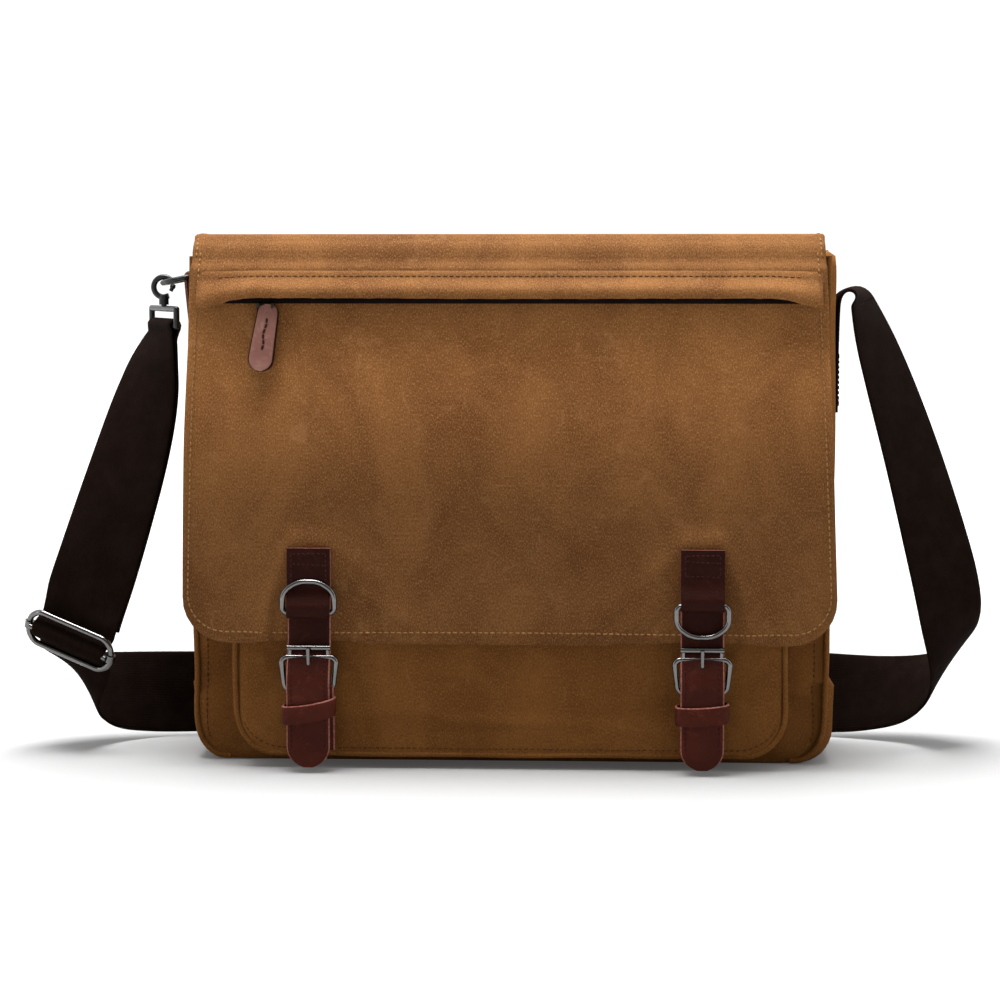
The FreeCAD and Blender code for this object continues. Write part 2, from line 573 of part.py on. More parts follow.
def closure(side):
    """One buckle closure: strap, buckle with prong, anchor tab, keeper, snap and ring."""
    middle = "closure_" + side
    centre = value(middle)
    width = "leather_width"
    heel = value("heel_height")
    stand = value("heel_stand")
    slot = rectangle(middle + " - prong_slot", middle + " + prong_slot", "heel_height - 2", "heel_height + 13")

    flat = "skirt_face - 0.3"
    tail = "tail_face"
    strap = new_body("closure_strap_" + side)
    profile = [(flat, "closure_top"), (flat, "heel_height + 17"), (tail + " + leather", "heel_height + 1"),
               (tail + " + leather", "closure_tip"), (tail, "closure_tip"), (tail, "heel_height + 1.5"),
               (flat + " - leather", "heel_height + 17.5"), (flat + " - leather", "closure_top")]
    extrude(strap, "Pad", polygon_sketch(strap, "YZ_Plane", "%s - %s/2" % (middle, width), profile), width)
    cut_through(strap, slot)
    tip = value("closure_tip") + 1
    round_edges(strap, "leather_width/2 - 0.5", lambda edge: runs_along(Vector(0, 1, 0))(edge)
                and edge.CenterOfMass.z < tip)
    keep(strap, "closure_strap_" + side)

    # anchor tab: two layers joined by the fold round the heel bar, slotted for the prong
    tab_width = width + " - 3"
    fold_radius = "tab_back - heel_stand"
    left_end = value("%s - (%s)/2" % (middle, tab_width))
    layers = [prism_along_x("tab_layer_" + side, rectangle(low + " - leather", low, "tab_foot", "heel_height"),
                            middle, tab_width)
              for low in ("tab_back", "2*heel_stand - tab_back + leather")]
    fold = cylinder("tab_fold_" + side, fold_radius, tab_width, (left_end, stand, heel), (1, 0, 0))
    core = cylinder("tab_core_" + side, fold_radius + " - leather", tab_width, (left_end, stand, heel), (1, 0, 0))
    window = new_body("tab_window_" + side)
    opening = rectangle(middle + " - prong_slot", middle + " + prong_slot", "heel_height - 4", "heel_height + 6")
    extrude(window, "Pad", polygon_sketch(window, "XZ_Plane", "-tab_back - 1", opening), "2*(%s) + 2" % fold_radius)
    blank = combine("MultiFuse", "tab_blank_" + side, [*layers, fold])
    bored = combine("Cut", "tab_bored_" + side, [blank, core])
    keep(combine("Cut", "tab_solid_" + side, [bored, window]), "buckle_anchor_" + side)

    # buckle frame: heel bar on the pivot, sides that widen upwards, top bar and the strap's guide bar above it
    half = value("frame_width/2")
    rise = value("frame_height")
    corner = value("frame_corner")
    foot = half - value("frame_taper")
    outline = [(-foot + corner, 0), (foot - corner, 0), (foot, corner), (half, rise - corner),
               (half - corner, rise), (corner - half, rise), (-half, rise - corner), (-foot, corner)]
    pivot = Placement(Vector(centre, stand, heel), Rotation())
    rim = bent_wire("frame_rim_" + side, [(x, 0, z) for x, z in outline], "bar_radius", pivot)
    guide_half = value("leather_width/2")
    bars = [rim, cylinder("guide_bar_" + side, "bar_radius", "leather_width",
                          (centre - guide_half, stand, heel + rise + value("guide_gap")), (1, 0, 0))]
    for place in (-guide_half, guide_half):
        link = value("bar_radius") if place < 0 else -value("bar_radius")
        bars.append(cylinder("guide_link_" + side, "guide_link", "guide_gap", (centre + place + link, stand, heel + rise),
                             (0, 0, 1)))
    keep(combine("MultiFuse", "frame_solid_" + side, bars), "buckle_frame_" + side)

    # prong: an eye on the heel bar, and a tapered finger whose tip rests on the top bar
    reach = math.hypot(value("bar_radius + prong_radius + 0.1"), rise)
    lean = math.atan2(value("bar_radius + prong_radius + 0.1"), rise)
    finger = doc.addObject("Part::Cone", "prong_finger_" + side)
    finger.setExpression("Radius1", bound("prong_radius"))
    finger.setExpression("Radius2", bound("prong_radius*0.8"))
    finger.Height = reach + value("prong_past")
    finger.Placement = Placement(Vector(centre, stand, heel),
                                 Rotation(Vector(0, 0, 1), Vector(0, -math.sin(lean), math.cos(lean))))
    eye = cylinder("prong_eye_" + side, "bar_radius + 1.2", 4, (centre - 2, stand, heel), (1, 0, 0))
    bore = cylinder("prong_bore_" + side, "bar_radius + 0.08", 4, (centre - 2, stand, heel), (1, 0, 0))
    blank = combine("MultiFuse", "prong_blank_" + side, [finger, eye])
    keep(combine("Cut", "prong_solid_" + side, [blank, bore]), "buckle_prong_" + side)

    # keeper: a leather band round the tail and the tab
    band = new_body("keeper_" + side)
    outer = rectangle(middle + " - keeper_width/2", middle + " + keeper_width/2",
                      "tail_face - 0.5 - keeper_skin", "tab_back + 0.4 + keeper_skin")
    inner = rectangle(middle + " - keeper_width/2 + keeper_skin", middle + " + keeper_width/2 - keeper_skin",
                      "tail_face - 0.5", "tab_back + 0.4")
    extrude(band, "Pad", polygon_sketch(band, "XY_Plane", "keeper_low", outer, inner), "keeper_high - keeper_low")
    keep(band, "keeper_" + side)

    # magnetic snap: the stud on the tab, the socket on the pocket
    snap = value("snap_height")
    disc = cylinder("stud_disc_" + side, "stud_radius", 3, (centre, value("tab_back"), snap), (0, 1, 0))
    post = cylinder("stud_post_" + side, "post_radius", 4.4, (centre, value("tab_back"), snap), (0, 1, 0))
    keep(combine("MultiFuse", "stud_solid_" + side, [disc, post]), "snap_stud_" + side)
    face = value("pocket_face")
    cup = cylinder("socket_cup_" + side, "socket_radius", 3.4, (centre, face, snap), (0, -1, 0))
    recess = cylinder("socket_recess_" + side, "post_radius + 1.2", 2, (centre, face - 2.2, snap), (0, -1, 0))
    keep(combine("Cut", "socket_solid_" + side, [cup, recess]), "snap_socket_" + side)

    height = "ring_%s_height" % side
    lug_tab("ring_tab_" + side, height, middle)
    turn = 180 if side == "left" else 0
    d_ring("d_ring_" + side, Placement(Vector(centre, value("ring_stand"), value(height)),
                                       Rotation(Vector(1, 0, 0), turn)))


# ---------------------------------------------------------------- shoulder strap and its hardware

def build_side_ring():
    stand = value("side_ring_stand")
    height = value("side_ring_height")
    tab = new_body("side_tab_sheet")
    half = "bag_width/2"
    extrude(tab, "Pad", polygon_sketch(tab, "XZ_Plane", "-leather_width/2",
            rectangle("-%s - leather" % half, "-" + half, "side_ring_height - 38", "side_ring_height")),
            "leather_width")
    along_y = (-stand, value("-leather_width/2"), height)
    roll = cylinder("side_tab_roll", "lug_radius", "leather_width", along_y, (0, 1, 0))
    bore = cylinder("side_tab_bore", "ring_wire + 0.05", "leather_width", along_y, (0, 1, 0))
    blank = combine("MultiFuse", "side_tab_blank", [tab, roll])
    keep(combine("Cut", "side_tab_solid", [blank, bore]), "side_ring_tab")
    lie_out = Rotation(Vector(0, 0, 1), -90).multiply(Rotation(Vector(1, 0, 0), -(90 - value("side_ring_drop"))))
    d_ring("side_ring", Placement(Vector(-stand, 0, height), lie_out))


def build_hook():
    """Swivel snap hook: the loop round the side ring, its gate, and the eye that the webbing runs through."""
    loop = value("hook_loop")
    wire = value("hook_wire")
    drop = math.radians(value("side_ring_drop"))
    reach = value("ring_arc + ring_leg")
    ring_x = -value("side_ring_stand") - reach * math.cos(drop)
    ring_z = value("side_ring_height") - reach * math.sin(drop)
    centre = Vector(ring_x, 0, ring_z - (loop - wire - value("ring_wire") - 0.3))

    # the loop is open on the bag's side, where the gate closes it
    bow = doc.addObject("Part::Torus", "hook_bow")
    bow.setExpression("Radius1", bound("hook_loop"))
    bow.setExpression("Radius2", bound("hook_wire"))
    bow_start = 35
    bow.Angle3 = 250
    bow.Placement = Placement(centre, Rotation(Vector(1, 0, 0), 90).multiply(Rotation(Vector(0, 0, 1), bow_start)))
    base = centre + Vector(0, 0, -loop)
    mouth = base + Vector(0, 0, 1 - value("collar_length"))
    collar = cylinder("hook_collar", "hook_wire + collar_skin", "collar_length", tuple(mouth), (0, 0, 1))
    socket = cylinder("hook_socket", "hook_wire + 0.05", "socket_depth", tuple(mouth), (0, 0, 1))
    mouth_low = math.radians(-60)
    mouth_high = math.radians(26)
    knuckle_place = centre + Vector(loop * math.cos(mouth_low), 0, loop * math.sin(mouth_low))
    foot = cylinder("hook_foot", "hook_wire", (knuckle_place - base).Length, tuple(base),
                    tuple(knuckle_place - base))
    blank = combine("MultiFuse", "hook_blank", [bow, collar, foot])
    keep(combine("Cut", "hook_solid", [blank, socket]), "hook_body")

    # the gate leans across the mouth, from just above the loop's lower end to just under its upper end
    gate_low = knuckle_place + Vector(1.2, 0, 2.8)
    latch = centre + Vector(loop * math.cos(mouth_high), 0, loop * math.sin(mouth_high))
    gate_high = latch + Vector(0.8, 0, -1)
    gate = cylinder("gate_bar", "gate_wire", (gate_high - gate_low).Length, tuple(gate_low),
                    tuple(gate_high - gate_low))
    thumb = doc.addObject("Part::Sphere", "gate_thumb")
    thumb.setExpression("Radius", bound("gate_thumb"))
    thumb.Placement = Placement(gate_low + Vector(1.2, 0, 2.6), Rotation())
    keep(combine("MultiFuse", "gate_solid", [gate, thumb]), "hook_gate")
    print("hook gate pivot at", [round(number, 2) for number in gate_low], "swivel axis at", round(centre.x, 2))

    # eye: a rectangle of wire below a post; the post runs up into the hook's collar
    half = value("eye_width/2 + eye_wire")
    tall = value("eye_height")
    bar_z = mouth.z - 0.5 - value("eye_wire") - tall
    across = Rotation(Vector(0, 0, 1), value("eye_turn"))
    eye_place = Vector(centre.x, 0, bar_z)
    bars = []
    for low in (0, tall):
        bars.append(cylinder("eye_bar", "eye_wire", "eye_width + 2*eye_wire",
                             tuple(eye_place + across.multVec(Vector(-half, 0, 0)) + Vector(0, 0, low)),
                             tuple(across.multVec(Vector(1, 0, 0)))))
    for place in (-half, half):
        end = eye_place + across.multVec(Vector(place, 0, 0))
        bars.append(cylinder("eye_side", "eye_wire", "eye_height", tuple(end), (0, 0, 1)))
        for low in (0, tall):
            knuckle = doc.addObject("Part::Sphere", "eye_corner")
            knuckle.setExpression("Radius", bound("eye_wire"))
            knuckle.Placement = Placement(end + Vector(0, 0, low), Rotation())
            bars.append(knuckle)
    bars.append(cylinder("eye_post", "hook_wire", "post_length",
                         (centre.x, 0, bar_z + tall + value("eye_wire") - 0.4), (0, 0, 1)))
    keep(combine("MultiFuse", "eye_solid", bars), "hook_eye")
    print("eye lower bar at", round(centre.x, 2), round(bar_z, 2))


def build_slider():
    """Strap slider: a rounded wire frame and a centre bar, in front of the webbing."""
    below, above = [Vector(*place) for place, _ in STRAP_ROUTE[SLIDER_RUN:SLIDER_RUN + 2]]
    up = (above - below).normalize()
    across = sum((Vector(*width) for _, width in STRAP_ROUTE[SLIDER_RUN:SLIDER_RUN + 2]), Vector())
    across = (across - up * across.dot(up)).normalize()
    out = up.cross(across)
    if out.y > 0:
        out = out * -1
    stand = value("webbing_thick/2 + slider_wire + slider_gap")
    centre = (below + above) * 0.5 + out * stand
    turn = Rotation(across, up, across.cross(up), "XYZ")
    frame = Placement(centre, turn)

    half_wide = value("slider_width/2 - slider_height/4")
    half_tall = value("slider_height/2")
    quarter = value("slider_height/4")
    rim = [(-half_wide, half_tall, 0), (half_wide, half_tall, 0), (half_wide + quarter, half_tall - quarter, 0),
           (half_wide + quarter, -half_tall + quarter, 0), (half_wide, -half_tall, 0), (-half_wide, -half_tall, 0),
           (-half_wide - quarter, -half_tall + quarter, 0), (-half_wide - quarter, half_tall - quarter, 0)]
    keep(bent_wire("slider_rim", rim, "slider_wire", frame), "slider_frame")

    reach = half_wide + quarter
    inside = "slider_width - 2*slider_wire"
    bar = cylinder("slider_rod", "slider_wire - 0.3", inside, (-value(inside) / 2, 0, -value("slider_sink")), (1, 0, 0))
    wraps = []
    for end in (-reach, reach):
        tube = cylinder("slider_wrap", "slider_wire + 1", 4.4, (end, -2.2, 0), (0, 1, 0))
        hole = cylinder("slider_wrap_bore", "slider_wire", 8, (end, -4, 0), (0, 1, 0))
        wraps.append(combine("Cut", "slider_sleeve", [tube, hole]))
    solid = combine("MultiFuse", "slider_bar_solid", [bar, *wraps])
    solid.Placement = frame
    keep(solid, "slider_bar")


build_body()
build_pocket()
build_flap()
build_zip()
closure("left")
closure("right")
build_side_ring()
build_hook()
webbing("strap_root", STRAP_ROOT)
webbing("shoulder_strap", STRAP_ROUTE)
webbing("strap_return", STRAP_ROUTE, first_run=SLIDER_RUN + 1, offset=value("webbing_thick") + 0.6)
build_slider()
doc.recompute()

for thing in doc.Objects:
    if any(flag in thing.State for flag in ("Invalid", "Error")):
        raise RuntimeError("%s failed: %s" % (thing.Name, thing.State))
os.makedirs("parts", exist_ok=True)
for thing in parts:
    if thing.Shape.isNull() or not thing.Shape.isValid() or not thing.Shape.Solids:
        raise RuntimeError("%s has no valid solid" % thing.Label)
for thing in parts:
    thing.Shape.exportStep("parts/%s.step" % thing.Label)
print(len(parts), "sub-parts written")
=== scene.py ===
import math

import bpy
import numpy as np
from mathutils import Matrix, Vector


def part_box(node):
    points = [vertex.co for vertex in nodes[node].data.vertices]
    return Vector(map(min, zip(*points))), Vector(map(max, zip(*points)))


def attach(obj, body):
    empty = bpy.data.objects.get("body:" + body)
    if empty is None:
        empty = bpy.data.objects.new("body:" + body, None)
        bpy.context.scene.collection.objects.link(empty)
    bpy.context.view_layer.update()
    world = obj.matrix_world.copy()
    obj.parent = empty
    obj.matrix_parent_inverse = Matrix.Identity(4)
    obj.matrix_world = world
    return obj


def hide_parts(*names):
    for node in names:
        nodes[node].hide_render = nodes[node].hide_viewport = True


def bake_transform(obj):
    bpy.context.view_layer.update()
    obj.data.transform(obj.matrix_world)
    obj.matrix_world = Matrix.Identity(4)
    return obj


# Looks of the canvas messenger bag.  Metres, in the CAD frame: front towards -Y, the ground at z = 0.

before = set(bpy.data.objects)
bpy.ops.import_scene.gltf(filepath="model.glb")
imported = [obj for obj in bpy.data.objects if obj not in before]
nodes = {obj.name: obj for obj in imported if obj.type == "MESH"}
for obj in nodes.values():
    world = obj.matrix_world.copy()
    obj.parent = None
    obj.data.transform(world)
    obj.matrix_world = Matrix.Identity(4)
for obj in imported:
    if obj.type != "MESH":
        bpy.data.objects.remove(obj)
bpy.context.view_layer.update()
scene = bpy.context.scene
UP = np.array([0.0, 0.0, 1.0])
RIGHT = np.array([1.0, 0.0, 0.0])
FRONT = np.array([0.0, -1.0, 0.0])
MM = 0.001

LENS = 97.9                              # mm, on a 36 mm sensor
CAMERA_PLACE = (0.0753, -1.617, 0.290)
CAMERA_AIM = (-0.0050, -0.069, 0.157)

CLOTH_THICK = 2 * MM
LINING_THICK = 1 * MM


def corners(node):
    """Lowest and highest corner of a CAD node, as arrays."""
    low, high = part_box(node)
    return np.array(low), np.array(high)


def world_points(node):
    """The vertices of a CAD node, in the world."""
    made = nodes[node]
    return np.array([made.matrix_world @ vertex.co for vertex in made.data.vertices])


def middle(node):
    low, high = corners(node)
    return (low + high) / 2


# ---------------------------------------------------------------- camera

def make_camera():
    data = bpy.data.cameras.new("camera")
    data.sensor_width = 36
    data.lens = LENS
    camera = bpy.data.objects.new("camera", data)
    scene.collection.objects.link(camera)
    camera.location = CAMERA_PLACE
    camera.rotation_euler = (Vector(CAMERA_AIM) - camera.location).to_track_quat("-Z", "Y").to_euler()
    scene.camera = camera


# ---------------------------------------------------------------- lines

def unit(vectors):
    vectors = np.asarray(vectors, float)
    return vectors / np.linalg.norm(vectors, axis=-1, keepdims=True)


def nurbs(points):
    """Points along the NURBS spline that has these control points."""
    curve = bpy.data.curves.new("line", "CURVE")
    curve.dimensions = "3D"
    curve.resolution_u = 16
    spline = curve.splines.new("NURBS")
    spline.points.add(len(points) - 1)
    for control, place in zip(spline.points, points):
        control.co = (*place, 1)
    spline.order_u = 3
    spline.use_endpoint_u = True
    holder = bpy.data.objects.new("line", curve)
    mesh = bpy.data.meshes.new_from_object(holder)
    line = np.array([vertex.co for vertex in mesh.vertices])
    bpy.data.objects.remove(holder)
    bpy.data.curves.remove(curve)
    bpy.data.meshes.remove(mesh)
    return line


def lengths_along(line):
    steps = np.linalg.norm(np.diff(line, axis=0), axis=1)
    return np.concatenate([[0], np.cumsum(steps)])


def resample(line, spacing, *others):
    """The line at even spacing, with any values that belong to its points."""
    along = lengths_along(line)
    count = max(2, int(round(along[-1] / spacing)) + 1)
    places = np.linspace(0, along[-1], count)
    made = [np.stack([np.interp(places, along, column) for column in np.asarray(values).T], axis=1)
            for values in (line, *others)]
    return made if others else made[0]


def smooth_line(points, spacing=0.002):
    return resample(nurbs(points), spacing)


def side_line(x, points, spacing=0.002):
    """A smooth line in a plane of constant X, from places in Y and Z."""
    return smooth_line([(x, y, z) for y, z in points], spacing)


# ---------------------------------------------------------------- meshes

def make_object(name, vertices, faces, materials, face_materials=None, uvs=None):
    mesh = bpy.data.meshes.new(name)
    mesh.from_pydata([tuple(v) for v in vertices], [], [tuple(f) for f in faces])
    for material in materials:
        mesh.materials.append(material)
    if face_materials is not None:
        mesh.polygons.foreach_set("material_index", np.asarray(face_materials, np.int32))
    if uvs is not None:
        layer = mesh.uv_layers.new(name="UVMap")
        loops = np.zeros(len(mesh.loops), np.int32)
        mesh.loops.foreach_get("vertex_index", loops)
        layer.data.foreach_set("uv", np.asarray(uvs, np.float32)[loops].ravel())
    mesh.polygons.foreach_set("use_smooth", np.ones(len(mesh.polygons), bool))
    mesh.update()
    made = bpy.data.objects.new(name, mesh)
    scene.collection.objects.link(made)
    return made


def grid_normals(grid, closed=False):
    """Unit normals of a grid of points; rows run down and columns run to the right, seen from outside."""
    padded = np.concatenate([grid[:, -1:], grid, grid[:, :1]], axis=1) if closed else grid
    down = np.gradient(padded, axis=0)
    right = np.gradient(padded, axis=1)
    normals = unit(np.cross(down, right))
    return normals[:, 1:-1] if closed else normals


def grid_faces(rows, columns, closed=False, flipped=False, first=0):
    faces = []
    for row in range(rows - 1):
        for column in range(columns if closed else columns - 1):
            following = (column + 1) % columns
            face = (row * columns + column, (row + 1) * columns + column,
                    (row + 1) * columns + following, row * columns + following)
            faces.append(tuple(first + corner for corner in (face[::-1] if flipped else face)))
    return faces


def grid_uvs(grid):
    """Distances across and down the grid, in metres."""
    across = np.concatenate([np.zeros((len(grid), 1)),
                             np.cumsum(np.linalg.norm(np.diff(grid, axis=1), axis=2), axis=1)], axis=1)
    across -= across[:, -1:] / 2
    down = np.concatenate([np.zeros((1, grid.shape[1])),
                           np.cumsum(np.linalg.norm(np.diff(grid, axis=0), axis=2), axis=0)], axis=0)
    return np.stack([across, -down], axis=2).reshape(-1, 2)


def skin(name, outer, inner, material, uvs, closed=False):
    """Two grids, one behind the other, joined round their edges."""
    rows, columns = outer.shape[:2]
    count = rows * columns
    faces = grid_faces(rows, columns, closed) + grid_faces(rows, columns, closed, flipped=True, first=count)
    top = list(range(columns))
    bottom = list(range(count - columns, count))
    left = list(range(0, count, columns))
    right = [corner + columns - 1 for corner in left]
    edges = [top[::-1], bottom] if closed else [left + bottom[1:] + right[-2::-1] + top[-2:0:-1]]
    for edge in edges:
        faces += [(b, a, a + count, b + count) for a, b in zip(edge, edge[1:] + edge[:1])]
    return make_object(name, np.concatenate([outer.reshape(-1, 3), inner.reshape(-1, 3)]), faces, [material],
                       uvs=uvs)


def cloth_sheet(name, grid, thickness, material, closed=False, edge_roll=0.35):
    """A sheet of cloth with its outer face on the grid and its edges rolled a little."""
    normals = grid_normals(grid, closed)
    outer = grid.copy()
    inner = grid - normals * thickness
    roll = normals * thickness * edge_roll
    edges = [np.s_[[0, -1]]] if closed else [np.s_[[0, -1]], np.s_[:, [0, -1]]]
    for edge in edges:
        outer[edge] -= roll[edge]
        inner[edge] += roll[edge]
    uvs = grid_uvs(grid)
    return skin(name, outer, inner, material, np.concatenate([uvs, uvs]), closed)


def loft(name, rings, materials, edge_columns=()):
    """A closed skin through rings of points, with flat ends.

    The ends and the faces after edge_columns take the second material."""
    count, around = rings.shape[:2]
    faces = grid_faces(count, around, closed=True, flipped=True)
    kinds = [1 if column in edge_columns else 0 for _ in range(count - 1) for column in range(around)]
    faces.append(tuple(range(around)))
    faces.append(tuple(range((count - 1) * around, count * around))[::-1])
    kinds += [1 if edge_columns else 0] * 2
    along = lengths_along(rings.mean(axis=1))
    girth = np.concatenate([[0], np.cumsum(np.linalg.norm(np.diff(rings[count // 2], axis=0), axis=1))])
    uvs = np.stack(np.meshgrid(girth - girth.mean(), along), axis=2).reshape(-1, 2)
    return make_object(name, rings.reshape(-1, 3), faces, materials, kinds, uvs)


def rounded_plan(middle_x, half, front, back, turn, steps, spacing):
    """A rounded rectangle in plan, from its front right corner round by the right, back and left."""
    line = []
    for x, y, start in ((half - turn, front + turn, -90), (half - turn, back - turn, 0),
                        (turn - half, back - turn, 90), (turn - half, front + turn, 180)):
        for angle in np.radians(np.linspace(start, start + 90, steps + 1)):
            line.append((middle_x + x + turn * math.cos(angle), y + turn * math.sin(angle), 0))
    return resample(np.array(line + line[:1]), spacing)[:-1]


def flat_section(half_width, half_thick, across_points=9):
    """Places (across, out) round a flat section with rounded edges, and the columns of its two edges."""
    inset = half_thick * 0.7
    spread = np.linspace(-1, 1, across_points) * (half_width - inset)
    top = [(place, half_thick) for place in spread]
    bottom = [(place, -half_thick) for place in spread[::-1]]
    right = [(half_width, half_thick * 0.4), (half_width, -half_thick * 0.4)]
    left = [(-half_width, -half_thick * 0.4), (-half_width, half_thick * 0.4)]
    section = np.array(top + right + bottom + left)
    edges = [across_points - 1, across_points, 2 * across_points + 2, 2 * across_points + 3]
    return section, edges


def strip(name, line, across, width, thickness, materials, tips=(0, 0), bulge=0.0):
    """A strip of leather along a line.  A tip other than 0 is the radius that rounds that end off."""
    across = unit(np.broadcast_to(across, line.shape))
    out = unit(np.cross(np.gradient(line, axis=0), across))
    section, edges = flat_section(width / 2, thickness / 2)
    along = lengths_along(line)
    rings = []
    for index, centre in enumerate(line):
        half = width / 2
        for distance, radius in ((along[index], tips[0]), (along[-1] - along[index], tips[1])):
            if radius and distance < radius:
                bow = math.sqrt(max(radius ** 2 - (radius - distance) ** 2, 1e-9))
                half = min(half, width / 2 - radius + bow)
        half = max(half, width * 0.12)
        scaled = section[:, 0] * half / (width / 2)
        crown = bulge * (1 - (section[:, 0] / (width / 2)) ** 2)
        rings.append(centre + np.outer(scaled, across[index]) + np.outer(section[:, 1] + crown, out[index]))
    return loft(name, np.array(rings), materials, edges)


def round_tube(name, line, radius, material, sides=10):
    """A round cord through the points of a line that keeps near a plane facing forwards."""
    tangents = unit(np.gradient(line, axis=0))
    side = unit(np.cross(tangents, FRONT))
    other = np.cross(tangents, side)
    angles = np.linspace(0, 2 * math.pi, sides, endpoint=False)
    rings = (line[:, None] + radius * (np.cos(angles)[None, :, None] * side[:, None]
                                       + np.sin(angles)[None, :, None] * other[:, None]))
    return loft(name, rings, [material])


def stitches(name, line, normals, material, pitch=0.0036, share=0.68, radius=0.00042):
    """Thread stitches in a row along a line on a surface, each a short spindle sunk a little into it."""
    line, normals = resample(line, pitch, normals)
    profile = [(-0.5, 0.25), (-0.38, 0.85), (0, 1.0), (0.38, 0.85), (0.5, 0.25)]
    angles = [math.radians(60 * number) for number in range(6)]
    sides = len(angles)
    ring = list(range(sides))
    vertices = []
    faces = []
    for start, end, normal in zip(line[:-1], line[1:], normals[:-1]):
        along = (end - start) * share
        centre = (start + end) / 2 + normal * radius * 0.25
        side = unit(np.cross(along, normal))
        up = unit(np.cross(side, along))
        first = len(vertices)
        last = first + (len(profile) - 1) * sides
        vertices += [centre + along * place + radius * size * (math.cos(a) * side * 1.15 + math.sin(a) * up)
                     for place, size in profile for a in angles]
        faces += grid_faces(len(profile), sides, closed=True, flipped=True, first=first)
        faces += [tuple(first + number for number in ring[::-1]), tuple(last + number for number in ring)]
    return make_object(name, vertices, faces, [material])


def stitch_row(name, body, start, end, facing, material):
    """A straight row of stitches between two places on a face, riding on a body."""
    line = resample(np.array([start, end]), 0.0015)
    row = stitches(name, line, np.broadcast_to(facing, line.shape), material, pitch=0.003, radius=0.0004)
    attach(row, body)


def dress(piece, body, slot, *replaced):
    """Puts a piece on its body and hides the CAD nodes that it stands for; the slot is not used."""
    if replaced:
        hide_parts(*replaced)
    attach(piece, body)


# ---------------------------------------------------------------- materials

class Graph:
    """A material's nodes: each call adds a node with its inputs and hands back its first output."""

    def __init__(self, name):
        self.material = bpy.data.materials.new(name)
        self.material.use_nodes = True
        self.tree = self.material.node_tree
        self.shader = self.tree.nodes["Principled BSDF"]

    def set(self, node, inputs):
        for key, given in inputs.items():
            if isinstance(given, bpy.types.NodeSocket):
                self.tree.links.new(given, node.inputs[key])
            else:
                node.inputs[key].default_value = given

    def add(self, kind, inputs=None, output=0, **settings):
        node = self.tree.nodes.new("ShaderNode" + kind)
        for key, given in settings.items():
            setattr(node, key, given)
        self.set(node, inputs or {})
        return node.outputs[output]

    def place(self, scale, by_uv=False):
        """Coordinates in metres times a scale: along the sheet, or in the object's own space."""
        source = self.add("TexCoord", output=2 if by_uv else 3)
        return self.add("Mapping", {"Vector": source, "Scale": scale})

    def noise(self, where, scale, detail=4.0, rough=0.6, distortion=0.0):
        return self.add("TexNoise", {"Vector": where, "Scale": scale, "Detail": detail, "Roughness": rough,
                                     "Distortion": distortion})

    def ramp(self, value, low, high, start=0.3, end=0.7):
        """A colour or grey between two values."""
        return self.add("MapRange", {"Value": value, "From Min": start, "From Max": end, "To Min": low,
                                     "To Max": high})

    def mix(self, factor, first, second, blend="MIX"):
        node = self.tree.nodes.new("ShaderNodeMix")
        node.data_type = "RGBA"
        node.blend_type = blend
        self.set(node, {0: factor, 6: first, 7: second})
        return node.outputs[2]

    def math(self, kind, first, second=0.0):
        return self.add("Math", {0: first, 1: second}, operation=kind)

    def bump(self, height, distance, strength=1.0, normal=None):
        inputs = {"Height": height, "Distance": distance, "Strength": strength}
        if normal is not None:
            inputs["Normal"] = normal
        return self.add("Bump", inputs)

    def finish(self, **inputs):
        self.set(self.shader, {key.replace("_", " "): given for key, given in inputs.items()})
        return self.material


LEATHER_TINT = (1.9, 0.72, 0.042, 0.070)   # factor below and above, then the two heights


def wave_scale(pitch):
    """The wave texture's scale for bands this many metres apart."""
    return 2 * math.pi / 20 / pitch


def threads(graph, where):
    """A plain weave's height: warp and weft ridges, one over the other."""
    shape = {"Vector": where, "Scale": wave_scale(0.0008), "Distortion": 0.6, "Detail": 1.0,
             "Detail Scale": 2.0}
    warp, weft = (graph.add("TexWave", shape, output=1, bands_direction=way) for way in "XY")
    return graph.math("MULTIPLY", graph.math("ADD", warp, weft), 0.5)


